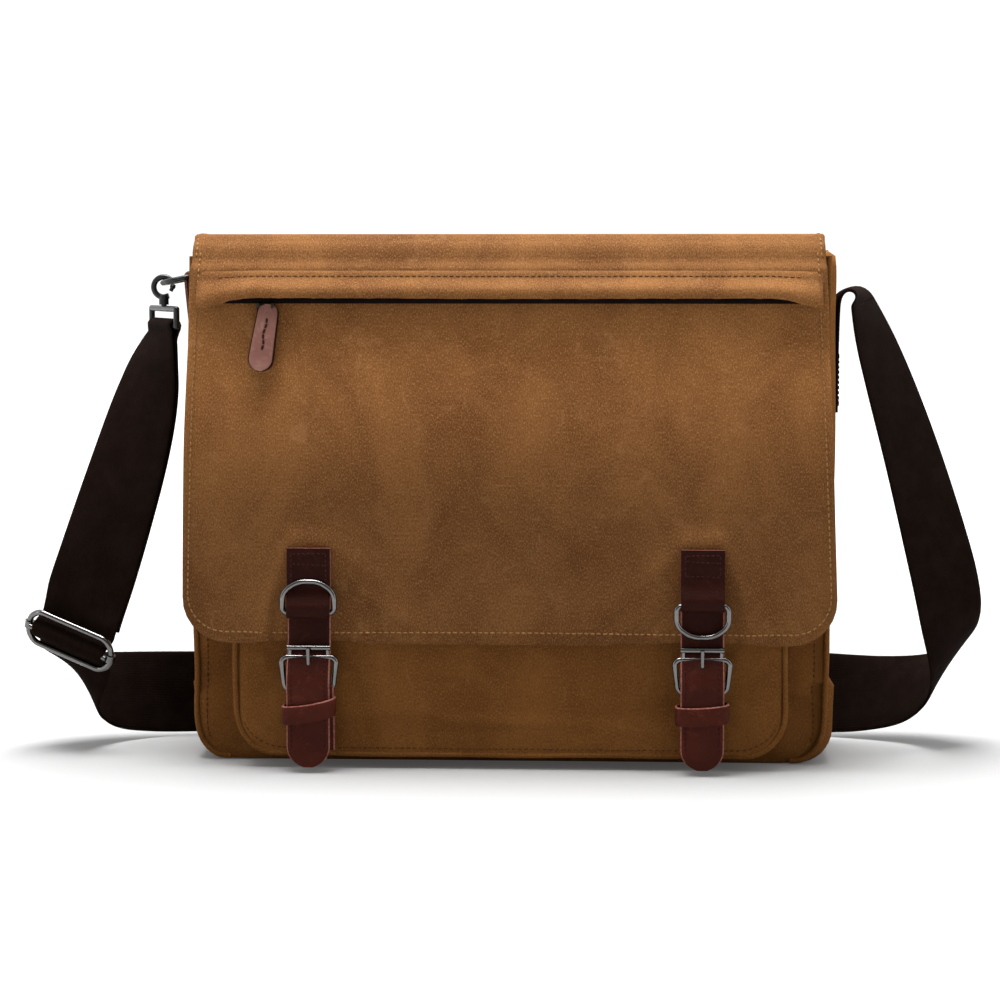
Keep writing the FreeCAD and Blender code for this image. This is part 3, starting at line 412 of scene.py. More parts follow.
def canvas_material(name, light, dark, worn, tints=((0.96, 1.15, 0.12, 0.28),)):
    """Waxed cotton: mottled, with slubs both ways and paler where it is rubbed.

    The tints by height are no property of the cloth: they imitate how the photo's light falls off.  Each is
    (factor below, factor above, lower height, upper height)."""
    graph = Graph(name)
    where = graph.place((1, 1, 1), by_uv=True)
    slub_across = graph.noise(graph.place((90, 900, 900), by_uv=True), 1.0, 3)
    slub_down = graph.noise(graph.place((900, 90, 90), by_uv=True), 1.0, 3)
    slubs = graph.math("MULTIPLY", graph.math("ADD", slub_across, slub_down), 0.5)
    clouds = graph.noise(graph.place((1.5, 1, 1), by_uv=True), 13, 5, 0.62, 0.6)
    speckle = graph.noise(graph.place((1.7, 0.8, 1), by_uv=True), 900, 6, 0.85)
    rubbed = graph.noise(where, 60, 6, 0.75, 1.2)
    tone = graph.mix(graph.ramp(clouds, 0, 1, 0.36, 0.64), dark, light)
    tone = graph.mix(graph.ramp(slubs, 0, 0.4, 0.45, 0.62), tone, dark)
    tone = graph.mix(graph.ramp(speckle, 0, 1.0, 0.50, 0.66), tone, worn)
    tone = graph.mix(graph.ramp(speckle, 1.0, 0, 0.34, 0.49), tone, dark)
    tone = graph.mix(graph.ramp(rubbed, 0, 0.42, 0.56, 0.78), tone, worn)
    height = graph.add("SeparateXYZ", {0: graph.place((1, 1, 1))}, output=2)
    for tint in tints:
        tone = graph.mix(1.0, tone, graph.ramp(height, *tint), "MULTIPLY")
    thread_relief = graph.math("ADD", threads(graph, where), graph.math("ADD", slubs, speckle))
    relief = graph.bump(clouds, 0.0020, 0.6, graph.bump(thread_relief, 0.0002, 0.6))
    return graph.finish(Base_Color=tone, Roughness=graph.ramp(speckle, 0.74, 0.92), Normal=relief,
                        Specular_IOR_Level=0.06)


def leather_material(name, base, warm, rub, rough=0.42):
    """Oiled leather: pores, creases, darker patches and a rubbed grain.

    The tint by height is no property of the leather: it imitates the photo's light low down."""
    graph = Graph(name)
    where = graph.place((1, 1, 1))
    pores = graph.add("TexVoronoi", {"Vector": where, "Scale": 900, "Randomness": 1.0}, feature="F1")
    creases = graph.noise(where, 120, 6, 0.65, 1.5)
    patches = graph.noise(where, 35, 4, 0.55)
    tone = graph.mix(graph.ramp(patches, 0, 1, 0.35, 0.7), base, warm)
    tone = graph.mix(graph.ramp(creases, 0, 0.5, 0.55, 0.75), tone, rub)
    height = graph.add("SeparateXYZ", {0: where}, output=2)
    tone = graph.mix(1.0, tone, graph.ramp(height, *LEATHER_TINT), "MULTIPLY")
    grain = graph.math("ADD", graph.math("MULTIPLY", pores, 0.6), creases)
    relief = graph.bump(grain, 0.0004, 0.6)
    return graph.finish(Base_Color=tone, Roughness=graph.ramp(creases, rough - 0.08, rough + 0.16),
                        Normal=relief, Specular_IOR_Level=0.06)


def edge_material(name, base, dark):
    """The cut edge of leather: fibrous and pale."""
    graph = Graph(name)
    fibres = graph.noise(graph.place((1, 1, 1)), 700, 5, 0.7)
    tone = graph.mix(graph.ramp(fibres, 0, 1, 0.35, 0.65), dark, base)
    return graph.finish(Base_Color=tone, Roughness=0.85, Normal=graph.bump(fibres, 0.0004, 0.7),
                        Specular_IOR_Level=0.1)


def webbing_material(name, base, lit):
    """Ribbed webbing: fine cross threads between the ribs that run along it."""
    graph = Graph(name)
    where = graph.place((1, 1, 1), by_uv=True)
    ribs = graph.add("TexWave", {"Vector": where, "Scale": wave_scale(0.0016), "Distortion": 0.4}, output=1,
                     bands_direction="X")
    picks = graph.add("TexWave", {"Vector": where, "Scale": wave_scale(0.0009), "Distortion": 1.2,
                                  "Detail": 2.0}, output=1, bands_direction="Y")
    # painted sheen: noise patches in the lit colour stand in for sheen on the webbing
    sheen_patches = graph.noise(where, 60, 5, 0.7)
    tone = graph.mix(graph.ramp(sheen_patches, 0, 0.8, 0.42, 0.72), base, lit)
    tone = graph.mix(graph.math("MULTIPLY", picks, 0.35), tone, tuple(0.4 * c for c in base[:3]) + (1,))
    height = graph.math("ADD", ribs, graph.math("MULTIPLY", picks, 0.5))
    return graph.finish(Base_Color=tone, Roughness=0.9, Normal=graph.bump(height, 0.00015, 0.5),
                        Specular_IOR_Level=0.02)


def metal_material(name, base, rough, metallic=1.0):
    """Polished or painted metal with faint scratches and handling marks."""
    graph = Graph(name)
    where = graph.place((1, 1, 1))
    smears = graph.noise(where, 90, 5, 0.6, 0.8)
    grit = graph.noise(where, 1400, 3, 0.6)
    tone = graph.mix(graph.ramp(smears, 0, 0.35, 0.4, 0.75), base, tuple(0.55 * c for c in base[:3]) + (1,))
    return graph.finish(Base_Color=tone, Metallic=metallic, Roughness=graph.ramp(smears, rough, rough + 0.1),
                        Normal=graph.bump(grit, 0.00004, 0.35))


def thread_material(name, base, dark):
    graph = Graph(name)
    twist = graph.noise(graph.place((1, 1, 1)), 1100, 3, 0.6)
    tone = graph.mix(graph.ramp(twist, 0, 1, 0.35, 0.65), dark, base)
    return graph.finish(Base_Color=tone, Roughness=0.8, Normal=graph.bump(twist, 0.0003, 0.6),
                        Specular_IOR_Level=0.08)


def floor_material():
    """A pale studio floor whose own glow grows away from the object until it meets the backdrop."""
    graph = Graph("floor")
    clouds = graph.noise(graph.place((1, 1, 1)), 1.5, 3)
    tone = graph.mix(graph.ramp(clouds, 0, 1), (0.375, 0.375, 0.375, 1), (0.385, 0.385, 0.385, 1))
    distance = graph.add("VectorMath", {0: graph.place((1, 1, 0))}, output=1, operation="LENGTH")
    glow = graph.ramp(distance, 0.05, 1.05, 0.35, 1.6)
    return graph.finish(Base_Color=tone, Roughness=0.9, Specular_IOR_Level=0.1, Emission_Color=(1, 1, 1, 1),
                        Emission_Strength=glow)


CANVAS = canvas_material("canvas", (0.170, 0.071, 0.0200, 1), (0.094, 0.034, 0.0084, 1),
                         (0.290, 0.150, 0.062, 1),
                         tints=((0.96, 1.62, 0.15, 0.235), (1.0, 0.64, 0.252, 0.284)))
CANVAS_DARK = canvas_material("canvas_dark", (0.185, 0.073, 0.0165, 1), (0.112, 0.040, 0.0078, 1),
                              (0.27, 0.125, 0.040, 1))
LINING = canvas_material("lining_cloth", (0.060, 0.042, 0.026, 1), (0.036, 0.025, 0.015, 1),
                         (0.09, 0.065, 0.042, 1))
LEATHER = leather_material("leather", (0.024, 0.0048, 0.0028, 1), (0.040, 0.0080, 0.0046, 1),
                           (0.075, 0.019, 0.011, 1))
PULL_LEATHER = leather_material("pull_leather", (0.24, 0.105, 0.082, 1), (0.37, 0.185, 0.150, 1),
                                (0.52, 0.30, 0.25, 1), 0.5)
RAW_EDGE = edge_material("raw_edge", (0.34, 0.135, 0.100, 1), (0.14, 0.042, 0.030, 1))
WEBBING = webbing_material("webbing", (0.0078, 0.0040, 0.0028, 1), (0.014, 0.0078, 0.0060, 1))
ZIP_TAPE = webbing_material("zip_tape", (0.006, 0.004, 0.003, 1), (0.012, 0.008, 0.006, 1))
GUNMETAL = metal_material("gunmetal", (0.17, 0.165, 0.16, 1), 0.09)
BLACK_METAL = metal_material("black_metal", (0.008, 0.007, 0.007, 1), 0.30, metallic=0.2)
ZIP_METAL = metal_material("zip_metal", (0.10, 0.08, 0.06, 1), 0.34)
TAN_THREAD = thread_material("tan_thread", (0.34, 0.185, 0.070, 1), (0.18, 0.085, 0.026, 1))
TONAL_THREAD = thread_material("tonal_thread", (0.120, 0.048, 0.013, 1), (0.060, 0.022, 0.005, 1))
DARK_THREAD = thread_material("dark_thread", (0.050, 0.013, 0.010, 1), (0.022, 0.006, 0.005, 1))

# ---------------------------------------------------------------- strap

STRAP_ROUTE = [         # place of the strap's centre line, then the way its width lies
    ((205.8, 4, 269.4), (0.35, 0.93, 0)),
    ((211.5, 4, 252), (0.50, 0.86, 0.05)),
    ((221.5, 4.5, 224), (0.60, 0.78, 0.12)),
    ((236, 5.5, 180), (0.70, 0.70, 0.17)),
    ((249, 7, 135), (0.77, 0.60, 0.20)),
    ((259.5, 10, 96), (0.70, 0.48, 0.40)),
    ((265, 20, 64), (0.55, 0.35, 0.76)),
    ((261, 37, 44), (0.55, 0.35, 0.76)),
    ((244, 54, 31), (0.55, 0.35, 0.76)),
    ((216, 64, 26), (0.55, 0.35, 0.76)),
    ((176, 69, 26), (0.10, 0.22, 0.97)),
    ((120, 72, 26), (0, 0.08, 1)),
    ((60, 72, 26), (0, 0, 1)),
    ((0, 70, 26), (0, 0, 1)),
    ((-58, 67, 26), (0, 0, 1)),
    ((-112, 62.5, 26), (0, 0, 1)),
    ((-158, 57.5, 26), (0, 0, 1)),
    ((-194, 52, 26), (-0.20, 0, 0.97)),
    ((-225, 43, 27), (-0.57, 0, 0.82)),
    ((-250, 28, 30), (-0.57, 0, 0.82)),
    ((-264, 7.5, 38.5), (-0.57, 0, 0.82)),
    ((-265.5, -9, 57), (-0.57, 0, 0.82)),
    ((-259.5, -18, 81), (-0.65, 0.05, 0.75)),
    ((-249.5, -19.5, 109), (-0.90, 0.12, 0.40)),
    ((-239.5, -17, 141.5), (-0.90, 0.24, 0.34)),
    ((-229, -12.3, 177.5), (-0.85, 0.38, 0.30)),
    ((-221, -7.4, 210), (-0.78, 0.55, 0.24)),
    ((-216.5, -3, 236), (-0.62, 0.76, 0.12)),
    ((-211.4, -0.7, 252.3), (-0.42, 0.91, 0)),
]
STRAP_ROOT = [
    ((189.4, 4, 205), (0, 1, 0)),
    ((189.5, 4, 228), (0, 1, 0)),
    ((189.7, 4, 247), (0, 1, 0)),
    ((190, 4, 260), (0, 1, 0)),
    ((190.5, 4, 270.5), (0, 1, 0)),
    ((193.8, 4, 275.4), (0.05, 1, 0)),
    ((199.2, 4, 276.8), (0.15, 0.99, 0)),
    ((204.3, 4, 274), (0.3, 0.95, 0)),
    ((205.8, 4, 269.4), (0.35, 0.93, 0)),
]
WEBBING_WIDTH = 50 * MM
WEBBING_THICK = 2.5 * MM
SLIDER_HUMP = 6.0 * MM    # half length of the webbing's hump over the slider's centre bar
SLIDER_ZONE = 24 * MM     # length either side of the bar in which the webbing lies parallel to it
BAR_CLEAR = 2.1 * MM      # from the bar's middle to the webbing's inner face
HUMP_SHIFT = 1.0 * MM     # the hump's middle lies this far before the bar
EYE_RADIUS = 1.8 * MM     # taken for the wire of the hook's eye
LAYER_GAP = 0.6 * MM      # between the two layers of webbing
DOUBLED_FROM = 7          # points of the line past the slider's bar at which the doubled layer ends


def route_line(route, spacing=0.0015):
    """A route's smooth line, with the direction of the width at each of its points."""
    line = nurbs([np.array(place) * MM for place, _ in route])
    widths = nurbs([width for _, width in route])
    return resample(line, spacing, widths)


def ribbon(name, line, widths):
    """Webbing whose ribs run along it, with thicker selvedges."""
    tangents = unit(np.gradient(line, axis=0))
    across = unit(widths - np.sum(widths * tangents, axis=1, keepdims=True) * tangents)
    out = np.cross(tangents, across)
    places = np.linspace(-1, 1, 49)
    edge = np.sqrt(np.clip(1 - np.abs(places) ** 14, 0.02, 1))
    ribs = 1 + 0.03 * np.cos(places * math.pi * 24) + 0.12 * (np.abs(places) > 0.92)
    height = WEBBING_THICK / 2 * edge * ribs * 0.94
    spread = places * WEBBING_WIDTH / 2
    section = np.concatenate([np.stack([spread, height], axis=1),
                              np.stack([spread[::-1], -height[::-1]], axis=1)])
    rings = line[:, None] + section[None, :, :1] * across[:, None] + section[None, :, 1:] * out[:, None]
    return loft(name, rings, [WEBBING])


def over_the_bar(line, widths):
    """The line and widths with a hump that takes the webbing in front of the slider's centre bar."""
    bar = world_points("slider_bar")
    along_bar = np.linalg.svd(bar - bar.mean(axis=0), full_matrices=False)[2][0]
    start = int(np.argmin(np.linalg.norm(line - middle("slider_bar"), axis=1)))
    tangents = unit(np.gradient(line, axis=0))
    square = unit(widths - np.sum(widths * tangents, axis=1, keepdims=True) * tangents)
    along_bar *= np.sign(np.dot(along_bar, square[start]))
    out = unit(np.cross(tangents[start], along_bar))
    out *= -1 if out[1] > 0 else 1
    height = np.dot(middle("slider_bar") - line[start], out) + BAR_CLEAR + WEBBING_THICK / 2
    away = lengths_along(line) - lengths_along(line)[start] + HUMP_SHIFT
    near = np.exp(-(away / SLIDER_ZONE) ** 4)[:, None]
    humped = line + out * (height * np.exp(-(away / SLIDER_HUMP) ** 4))[:, None]
    return humped, unit(square * (1 - near) + along_bar * near)


def make_strap():
    line, widths = route_line(STRAP_ROUTE)
    strap = ribbon("strap_webbing", *over_the_bar(line, widths))
    root_line, root_widths = route_line(STRAP_ROOT)
    # the sewn end carries on a little way into the strap
    root_line = np.concatenate([root_line, line[1:2]])
    root = ribbon("strap_root_webbing", root_line, np.concatenate([root_widths, widths[1:2]]))

    # the end comes round the hook's eye and back down behind, to end at the slider
    first = int(np.argmin(np.linalg.norm(line - middle("slider_bar"), axis=1))) + DOUBLED_FROM
    layer = WEBBING_THICK + LAYER_GAP
    tangents = unit(np.gradient(line, axis=0))
    backs = unit(np.cross(tangents, widths))
    backs *= np.sign(backs[-1][1])
    tangent, behind = tangents[-2], backs[-1]
    bar = middle("hook_eye")
    bar[2] = corners("hook_eye")[0][2] + EYE_RADIUS
    turns = np.linspace(0, math.pi, 14)
    radius = EYE_RADIUS + WEBBING_THICK / 2 + LAYER_GAP / 2
    loop = bar + radius * (-np.cos(turns)[:, None] * behind + np.sin(turns)[:, None] * tangent)
    down = (line + backs * layer)[first:-2]
    wrap_line = np.concatenate([line[-2:-1], loop, down[::-1]])
    wrap_widths = np.concatenate([widths[-2:-1], np.repeat(widths[-1:], len(loop), axis=0),
                                  widths[first:-2][::-1]])
    wrap_line, wrap_widths = resample(wrap_line, 0.0018, wrap_widths)
    doubled = ribbon("strap_doubled_webbing", wrap_line, wrap_widths)

    for piece, replaced in ((strap, "shoulder_strap"), (root, "strap_root"), (doubled, "strap_return")):
        dress(piece, "bag", "webbing", replaced)


make_camera()
make_strap()


# ---------------------------------------------------------------- cloth

SETTLING_FRAMES = 22


def settle(grid, held, closed=False, cap=0.0035, growth=0.010):
    """The grid after a short cloth simulation.

    Held is 1 where it can't move, and nothing moves further than the cap."""
    cloth = make_object("settling", grid.reshape(-1, 3), grid_faces(*grid.shape[:2], closed), [])
    group = cloth.vertex_groups.new(name="held")
    for index, weight in enumerate(held.ravel()):
        group.add([index], float(weight), "REPLACE")
    modifier = cloth.modifiers.new("settle", "CLOTH")
    settings = modifier.settings
    settings.quality = 6
    settings.mass = 0.25
    settings.tension_stiffness = 12
    settings.compression_stiffness = 6
    settings.shear_stiffness = 4
    settings.bending_stiffness = 0.6
    settings.vertex_group_mass = "held"
    settings.shrink_min = -growth
    modifier.collision_settings.use_collision = False
    modifier.point_cache.frame_end = SETTLING_FRAMES
    for number in range(1, SETTLING_FRAMES + 1):
        scene.frame_set(number)
    evaluated = cloth.evaluated_get(bpy.context.evaluated_depsgraph_get())
    moved = np.array([vertex.co for vertex in evaluated.data.vertices]).reshape(grid.shape) - grid
    scene.frame_set(1)
    bpy.data.objects.remove(cloth)
    size = np.linalg.norm(moved, axis=2, keepdims=True)
    return grid + moved * (np.tanh(size / cap) * cap / np.maximum(size, 1e-9))


def ripple(grid, normals, height, waves):
    """Shallow folds: each wave is (cycles per metre across, cycles per metre down, phase, share)."""
    across, down = grid_uvs(grid).reshape(*grid.shape[:2], 2).transpose(2, 0, 1)
    wander = 0.8 * np.sin(9 * across + 7 * down)
    total = sum(share * np.sin(2 * math.pi * (fx * across + fz * down) + phase + wander)
                for fx, fz, phase, share in waves)
    return grid + normals * (height * total)[..., None]


def on_surface(places, grid):
    """Points of a front-facing grid at places in X and Z, with the normals there."""
    flat = grid.reshape(-1, 3)
    normals = grid_normals(grid).reshape(-1, 3)
    points = []
    facing = []
    for x, z in places:
        distance = (flat[:, 0] - x) ** 2 + (flat[:, 2] - z) ** 2
        near = np.argsort(distance)[:4]
        weights = 1 / (distance[near] + 1e-8)
        weights /= weights.sum()
        points.append((x, weights @ flat[near, 1], z))
        facing.append(weights @ normals[near])
    return np.array(points), unit(facing)


def smoothstep(value, start, end):
    share = np.clip((value - start) / (end - start), 0, 1)
    return share * share * (3 - 2 * share)


# ---------------------------------------------------------------- flap

HEM_ROUND = 26 * MM
HEM = corners("flap_front_canvas")[0][2]
FLAP_TOP = corners("flap_top_canvas")[1][2]
BACK_FACE = corners("back_panel")[1][1]
SKIRT_FACE = corners("flap_front_canvas")[0][1]
BEND = 0.190             # height below which the flap hangs straight
CLOSURES = {"left": middle("closure_strap_left")[0], "right": middle("closure_strap_right")[0]}

FLAP_PROFILE = [         # outer face, in Y and Z, from the seam on the back panel to the front's bend
    (BACK_FACE + 0.0015, 0.262),
    (BACK_FACE + 0.0018, 0.285),
    (BACK_FACE + 0.0012, FLAP_TOP - 0.006),
    (BACK_FACE - 0.004, FLAP_TOP),
    (0.020, FLAP_TOP + 0.0008),
    (-0.010, FLAP_TOP + 0.0012),
    (-0.0345, FLAP_TOP + 0.0010),
    (-0.0432, FLAP_TOP - 0.0020),
    (-0.0480, FLAP_TOP - 0.0160),
    (-0.0555, 0.255),
    (-0.0635, 0.220),
    (SKIRT_FACE - 0.0003, BEND),
    (SKIRT_FACE - 0.0003, BEND - 0.030),
    (SKIRT_FACE - 0.0003, BEND - 0.070),
    (SKIRT_FACE - 0.0003, HEM),
]


def flap_sides(height):
    """Left and right edge of the flap: it widens downwards."""
    share = np.clip((FLAP_TOP - height) / (FLAP_TOP - HEM), 0, 1)
    return -0.1850 - 0.0066 * share, 0.1806 + 0.0098 * share


def flap_grid():
    """The whole flap's outer face, rows from the back seam to the hem, columns from left to right."""
    profile = side_line(0, FLAP_PROFILE, 0.0035)
    along = lengths_along(profile)
    corner = np.linspace(0, math.pi / 2, 8)[1:]
    reach = HEM_ROUND / 0.19
    inner = np.linspace(-(1 - reach), 1 - reach, 92)
    outer = 1 - reach + reach * np.sin(corner)
    across = np.concatenate([-outer[::-1], inner, outer])
    past = np.maximum(np.abs(across) - (1 - reach), 0) / reach
    short = HEM_ROUND * (1 - np.sqrt(np.clip(1 - past ** 2, 0, 1)))
    grid = np.zeros((len(profile), len(across), 3))
    straight = along[-1] - 3 * HEM_ROUND
    for column, (place, less) in enumerate(zip(across, short)):
        squeeze = 1 - less / (3 * HEM_ROUND)
        places = np.where(along < straight, along, straight + (along - straight) * squeeze)
        grid[:, column, 1] = np.interp(places, along, profile[:, 1])
        grid[:, column, 2] = np.interp(places, along, profile[:, 2])
        left, right = flap_sides(grid[:, column, 2])
        grid[:, column, 0] = (left + right) / 2 + (right - left) / 2 * place
    return grid


def make_flap():
    grid = flap_grid()
    normals = grid_normals(grid)
    y, z = grid[..., 1], grid[..., 2]
    front = (y < -0.030).astype(float) * smoothstep(z, 0.300, 0.255)
    waves = [(3.1, 1.2, 0.4, 0.5), (5.3, -2.1, 1.9, 0.35), (1.7, 4.0, 3.0, 0.3), (9.5, 1.0, 0.7, 0.15)]
    grid = np.where(front[..., None] > 0, ripple(grid, normals, 0.0010 * front, waves), grid)
    tabs = sum(np.exp(-((grid[..., 0] - x) / 0.020) ** 4) for x in CLOSURES.values())
    tabs = tabs * smoothstep(z, 0.150, 0.120)
    welt = np.exp(-((z - 0.278) / 0.014) ** 4)
    back = smoothstep(y, -0.040, -0.030)
    held = np.clip(np.maximum.reduce([back, welt * 0.9, np.clip(tabs, 0, 1) * 0.9]), 0, 1)
    grid = settle(grid, held)

    split = int(np.argmin(np.abs(grid[:, 50, 1]) + (grid[:, 50, 2] < 0.29)))
    for half, node, part, rows in (("rear", "flap_top_", grid[:split + 1], slice(2, None)),
                                   ("front", "flap_front_", grid[split:], slice(None, -1))):
        cloth = cloth_sheet("flap_%s_cloth" % half, part, CLOTH_THICK, CANVAS)
        inner = part[rows, 1:-1] - grid_normals(part)[rows, 1:-1] * (CLOTH_THICK + 0.0006)
        facing = cloth_sheet("flap_%s_facing" % half, inner, LINING_THICK, LINING)
        for piece, kind in ((cloth, "canvas"), (facing, "lining")):
            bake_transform(piece)
            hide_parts(node + kind)
    flap_stitching(grid, split)
    return grid[split:]


def flap_stitching(grid, split):
    """Topstitching a few millimetres inside the sides and the hem."""
    inset = 0.0048
    skirt = grid[split + 14:]
    low = HEM + inset
    turn = HEM_ROUND - inset
    left, right = flap_sides(np.array(HEM + HEM_ROUND))
    arc = np.linspace(0, math.pi / 2, 12)
    top = skirt[0, 0, 2]
    sides = np.linspace(top, HEM + HEM_ROUND, 60)
    side_left, side_right = flap_sides(sides)
    places = [(x + inset, z) for x, z in zip(side_left, sides)]
    bend = [(inset + turn * (1 - math.cos(a)), low + turn * (1 - math.sin(a))) for a in arc]
    places += [(left + x, z) for x, z in bend[1:]]
    places += [(x, low) for x in np.linspace(left + inset + turn, right - inset - turn, 90)[1:]]
    places += [(right - x, z) for x, z in bend[::-1][1:]]
    places += [(x - inset, z) for x, z in zip(side_right[::-1], sides[::-1])][1:]
    points, normals = on_surface(places, skirt)
    row = stitches("flap_hem_stitches", points + normals * 0.0003, normals, TAN_THREAD)
    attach(row, "flap_front")
    for side, column in (("left", 2), ("right", -3)):
        fold = grid[split:split + 16, column]
        normals = grid_normals(grid)[split:split + 16, column]
        row = stitches("flap_fold_stitches_" + side, fold, normals, TAN_THREAD)
        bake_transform(row)


# ---------------------------------------------------------------- welt and zip

ZIP_HEIGHT = middle("zipper_tape")[2]
TOOTH_FACES = ((0, 1, 2, 3), (7, 6, 5, 4), (4, 5, 1, 0), (5, 6, 2, 1), (6, 7, 3, 2), (7, 4, 0, 3))
WELT_TOP = 0.2905         # height that its drop is measured from
WELT_DROP = 19.4 * MM     # from its sewn edge to the lower one, in the middle
WELT_DIP = 5.6 * MM       # how much lower its two ends hang


def make_welt(skirt):
    """The welt over the zip: sewn along its top, its lower edge standing off the slope in a shallow arc."""
    low, high = corners("flap_welt")
    columns = np.linspace(low[0] + 0.0005, high[0] - 0.0030, 90)
    ends = smoothstep(np.abs(columns), 0.148, 0.186)
    rows = []
    for share in np.linspace(0, 1, 14):
        drop = 0.0005 + share * (WELT_DROP + WELT_DIP * ends)
        places = list(zip(columns, WELT_TOP - drop))
        points, normals = on_surface(places, skirt)
        lift = (-0.0016 + 0.0036 * smoothstep(np.array(share), 0.0, 0.25)
                + 0.0069 * smoothstep(np.array(share), 0.25, 0.8))
        sway = 1 + 0.05 * np.sin(columns * 38) + 0.04 * np.sin(columns * 91 + 1)
        sway *= 1 - 0.50 * smoothstep(np.abs(columns), 0.162, 0.188)
        rows.append(points + normals * (lift * sway)[:, None])
    grid = np.array(rows)
    welt = cloth_sheet("welt_cloth", grid, 0.0021, CANVAS, edge_roll=0.45)
    dress(welt, "flap_front", "canvas", "flap_welt")
    row = stitches("welt_stitches", grid[4, 3:-3], grid_normals(grid)[4, 3:-3], TONAL_THREAD, radius=0.00036)
    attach(row, "flap_front")


def make_zip(skirt):
    low, high = corners("zipper_tape")
    rows = []
    for z in np.linspace(ZIP_HEIGHT - 0.0037, ZIP_HEIGHT + 0.0085, 6)[::-1]:
        points, normals = on_surface([(x, z) for x in np.linspace(low[0], high[0], 60)], skirt)
        rows.append(points + normals * 0.0008)
    tape = cloth_sheet("zip_tape_cloth", np.array(rows), 0.0008, ZIP_TAPE)
    dress(tape, "flap_front", "zip_tape", "zipper_tape")

    low, high = (corner * 0.94 for corner in corners("zipper_teeth"))
    vertices = []
    faces = []
    pitch = 0.0022
    for number in range(int((high[0] - low[0]) / pitch)):
        x = low[0] + (number + 0.5) * pitch
        above = 1 if number % 2 else -1
        points, normals = on_surface([(x, ZIP_HEIGHT + 0.0026 + above * 0.0014)], skirt)
        normal = normals[0]
        root = points[0] + normal * 0.0010
        up = np.cross(normal, RIGHT)
        first = len(vertices)
        for across, rise, out in ((-0.62, -1.9, 0), (0.62, -1.9, 0), (0.62, 1.9, 0), (-0.62, 1.9, 0),
                                  (-0.42, -1.6, 1.3), (0.42, -1.6, 1.3), (0.42, 1.6, 1.3), (-0.42, 1.6, 1.3)):
            vertices.append(root + (RIGHT * across + up * rise * 0.8 + normal * out) * MM)
        faces += [tuple(first + n for n in face) for face in TOOTH_FACES]
    teeth = make_object("zip_teeth_row", vertices, faces, [ZIP_METAL])
    dress(teeth, "flap_front", "zip_metal", "zipper_teeth")


def make_pull():
    """The leather pull: a tongue that widens to its rounded end, sewn down its middle with thick thread."""
    low, high = corners("zipper_pull")
    x = (low[0] + high[0]) / 2
    level = (low[1] + high[1]) / 2
    top = np.array([x + 0.0022, level + 0.0035, high[2] - 0.0015])
    foot = np.array([x - 0.0030, level - 0.0042, low[2] + 0.0003])
    line = resample(np.array([top, (top + foot) / 2 + FRONT * 0.0008, foot]), 0.001)
    along = unit(foot - top)
    across = unit(np.cross(along, np.cross(RIGHT, along)))
    for name, thickness, back, material in (("pull_leather_tab", 0.0022, 0.0, PULL_LEATHER),
                                            ("pull_leather_backing", 0.0016, 0.0019, LEATHER)):
        outward = unit(np.cross(across, along))
        outward = outward if outward[1] < 0 else -outward
        tab = strip(name, line - outward * back, across, 0.0156, thickness, [material, LEATHER],
                    tips=(0.0050, 0.0076), bulge=0.0004)
        taper_to(tab, top, foot, 0.78)
        dress(tab, "zip_pull", "pull_leather")
        if back == 0:
            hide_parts("zipper_pull")
    row = line[int(len(line) * 0.20):int(len(line) * 0.72)] + outward * 0.0013
    row = row + across * (0.0006 * np.sin(np.arange(len(row)) * 0.5))[:, None]
    made = stitches("pull_stitches", row, np.broadcast_to(outward, row.shape), DARK_THREAD, pitch=0.0031,
                    share=0.85, radius=0.00062)
    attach(made, "zip_pull")


def taper_to(piece, top, foot, share):
    """Narrows a piece towards its top end, about the line from top to foot."""
    along = unit(foot - top)
    for vertex in piece.data.vertices:
        place = np.array(vertex.co) - top
        down = np.clip(np.dot(place, along) / np.linalg.norm(foot - top), 0, 1)
        on_line = along * np.dot(place, along)
        vertex.co = top + on_line + (place - on_line) * (share + (1 - share) * down)


# ---------------------------------------------------------------- body

BODY_ROUND = 20 * MM
FRONT_FACE = corners("front_panel")[0][1]
BACK_TOP = corners("back_panel")[1][2]
FRONT_TOP = corners("front_panel")[1][2]
HALF_WIDTH = corners("back_panel")[1][0]
PLAN_ROUND = 5 * MM


def wall_grid(plan, tops, foot, turn, upright, steps, ends):
    """A standing wall: upright rows from its top edge, then rows in which its ends round in to the foot."""
    rows = []
    for share in np.linspace(0, 1, upright)[:-1]:
        row = plan.copy()
        row[:, 2] = tops + (foot + turn - tops) * share
        rows.append(row)
    for angle in np.linspace(0, math.pi / 2, steps):
        row = plan.copy()
        row[:, 0] -= np.sign(row[:, 0]) * turn * (1 - math.cos(angle)) * smoothstep(np.abs(plan[:, 0]), *ends)
        row[:, 2] = foot + turn * (1 - math.sin(angle))
        rows.append(row)
    return np.array(rows)


def body_grid():
    """The body's outer face: rows from the top edge to the ground, columns right round."""
    plan = rounded_plan(0, HALF_WIDTH, FRONT_FACE, BACK_FACE, PLAN_ROUND, 4, 0.0065)
    depth_share = (plan[:, 1] - FRONT_FACE) / (BACK_FACE - FRONT_FACE)
    tops = FRONT_TOP + (BACK_TOP - FRONT_TOP) * depth_share
    return wall_grid(plan, tops, 0, BODY_ROUND, 46, 9, (0.10, 0.18))


def end_sheet(name, half, front, back, height, thickness, material, spacing=0.008):
    """A flat sheet on the underside, facing down."""
    rows = np.linspace(front, back, max(3, int((back - front) / spacing)))
    columns = np.linspace(-half, half, int(2 * half / spacing))
    grid = np.array([[(x, y, height) for x in columns] for y in rows])
    return cloth_sheet(name, grid, thickness, material)


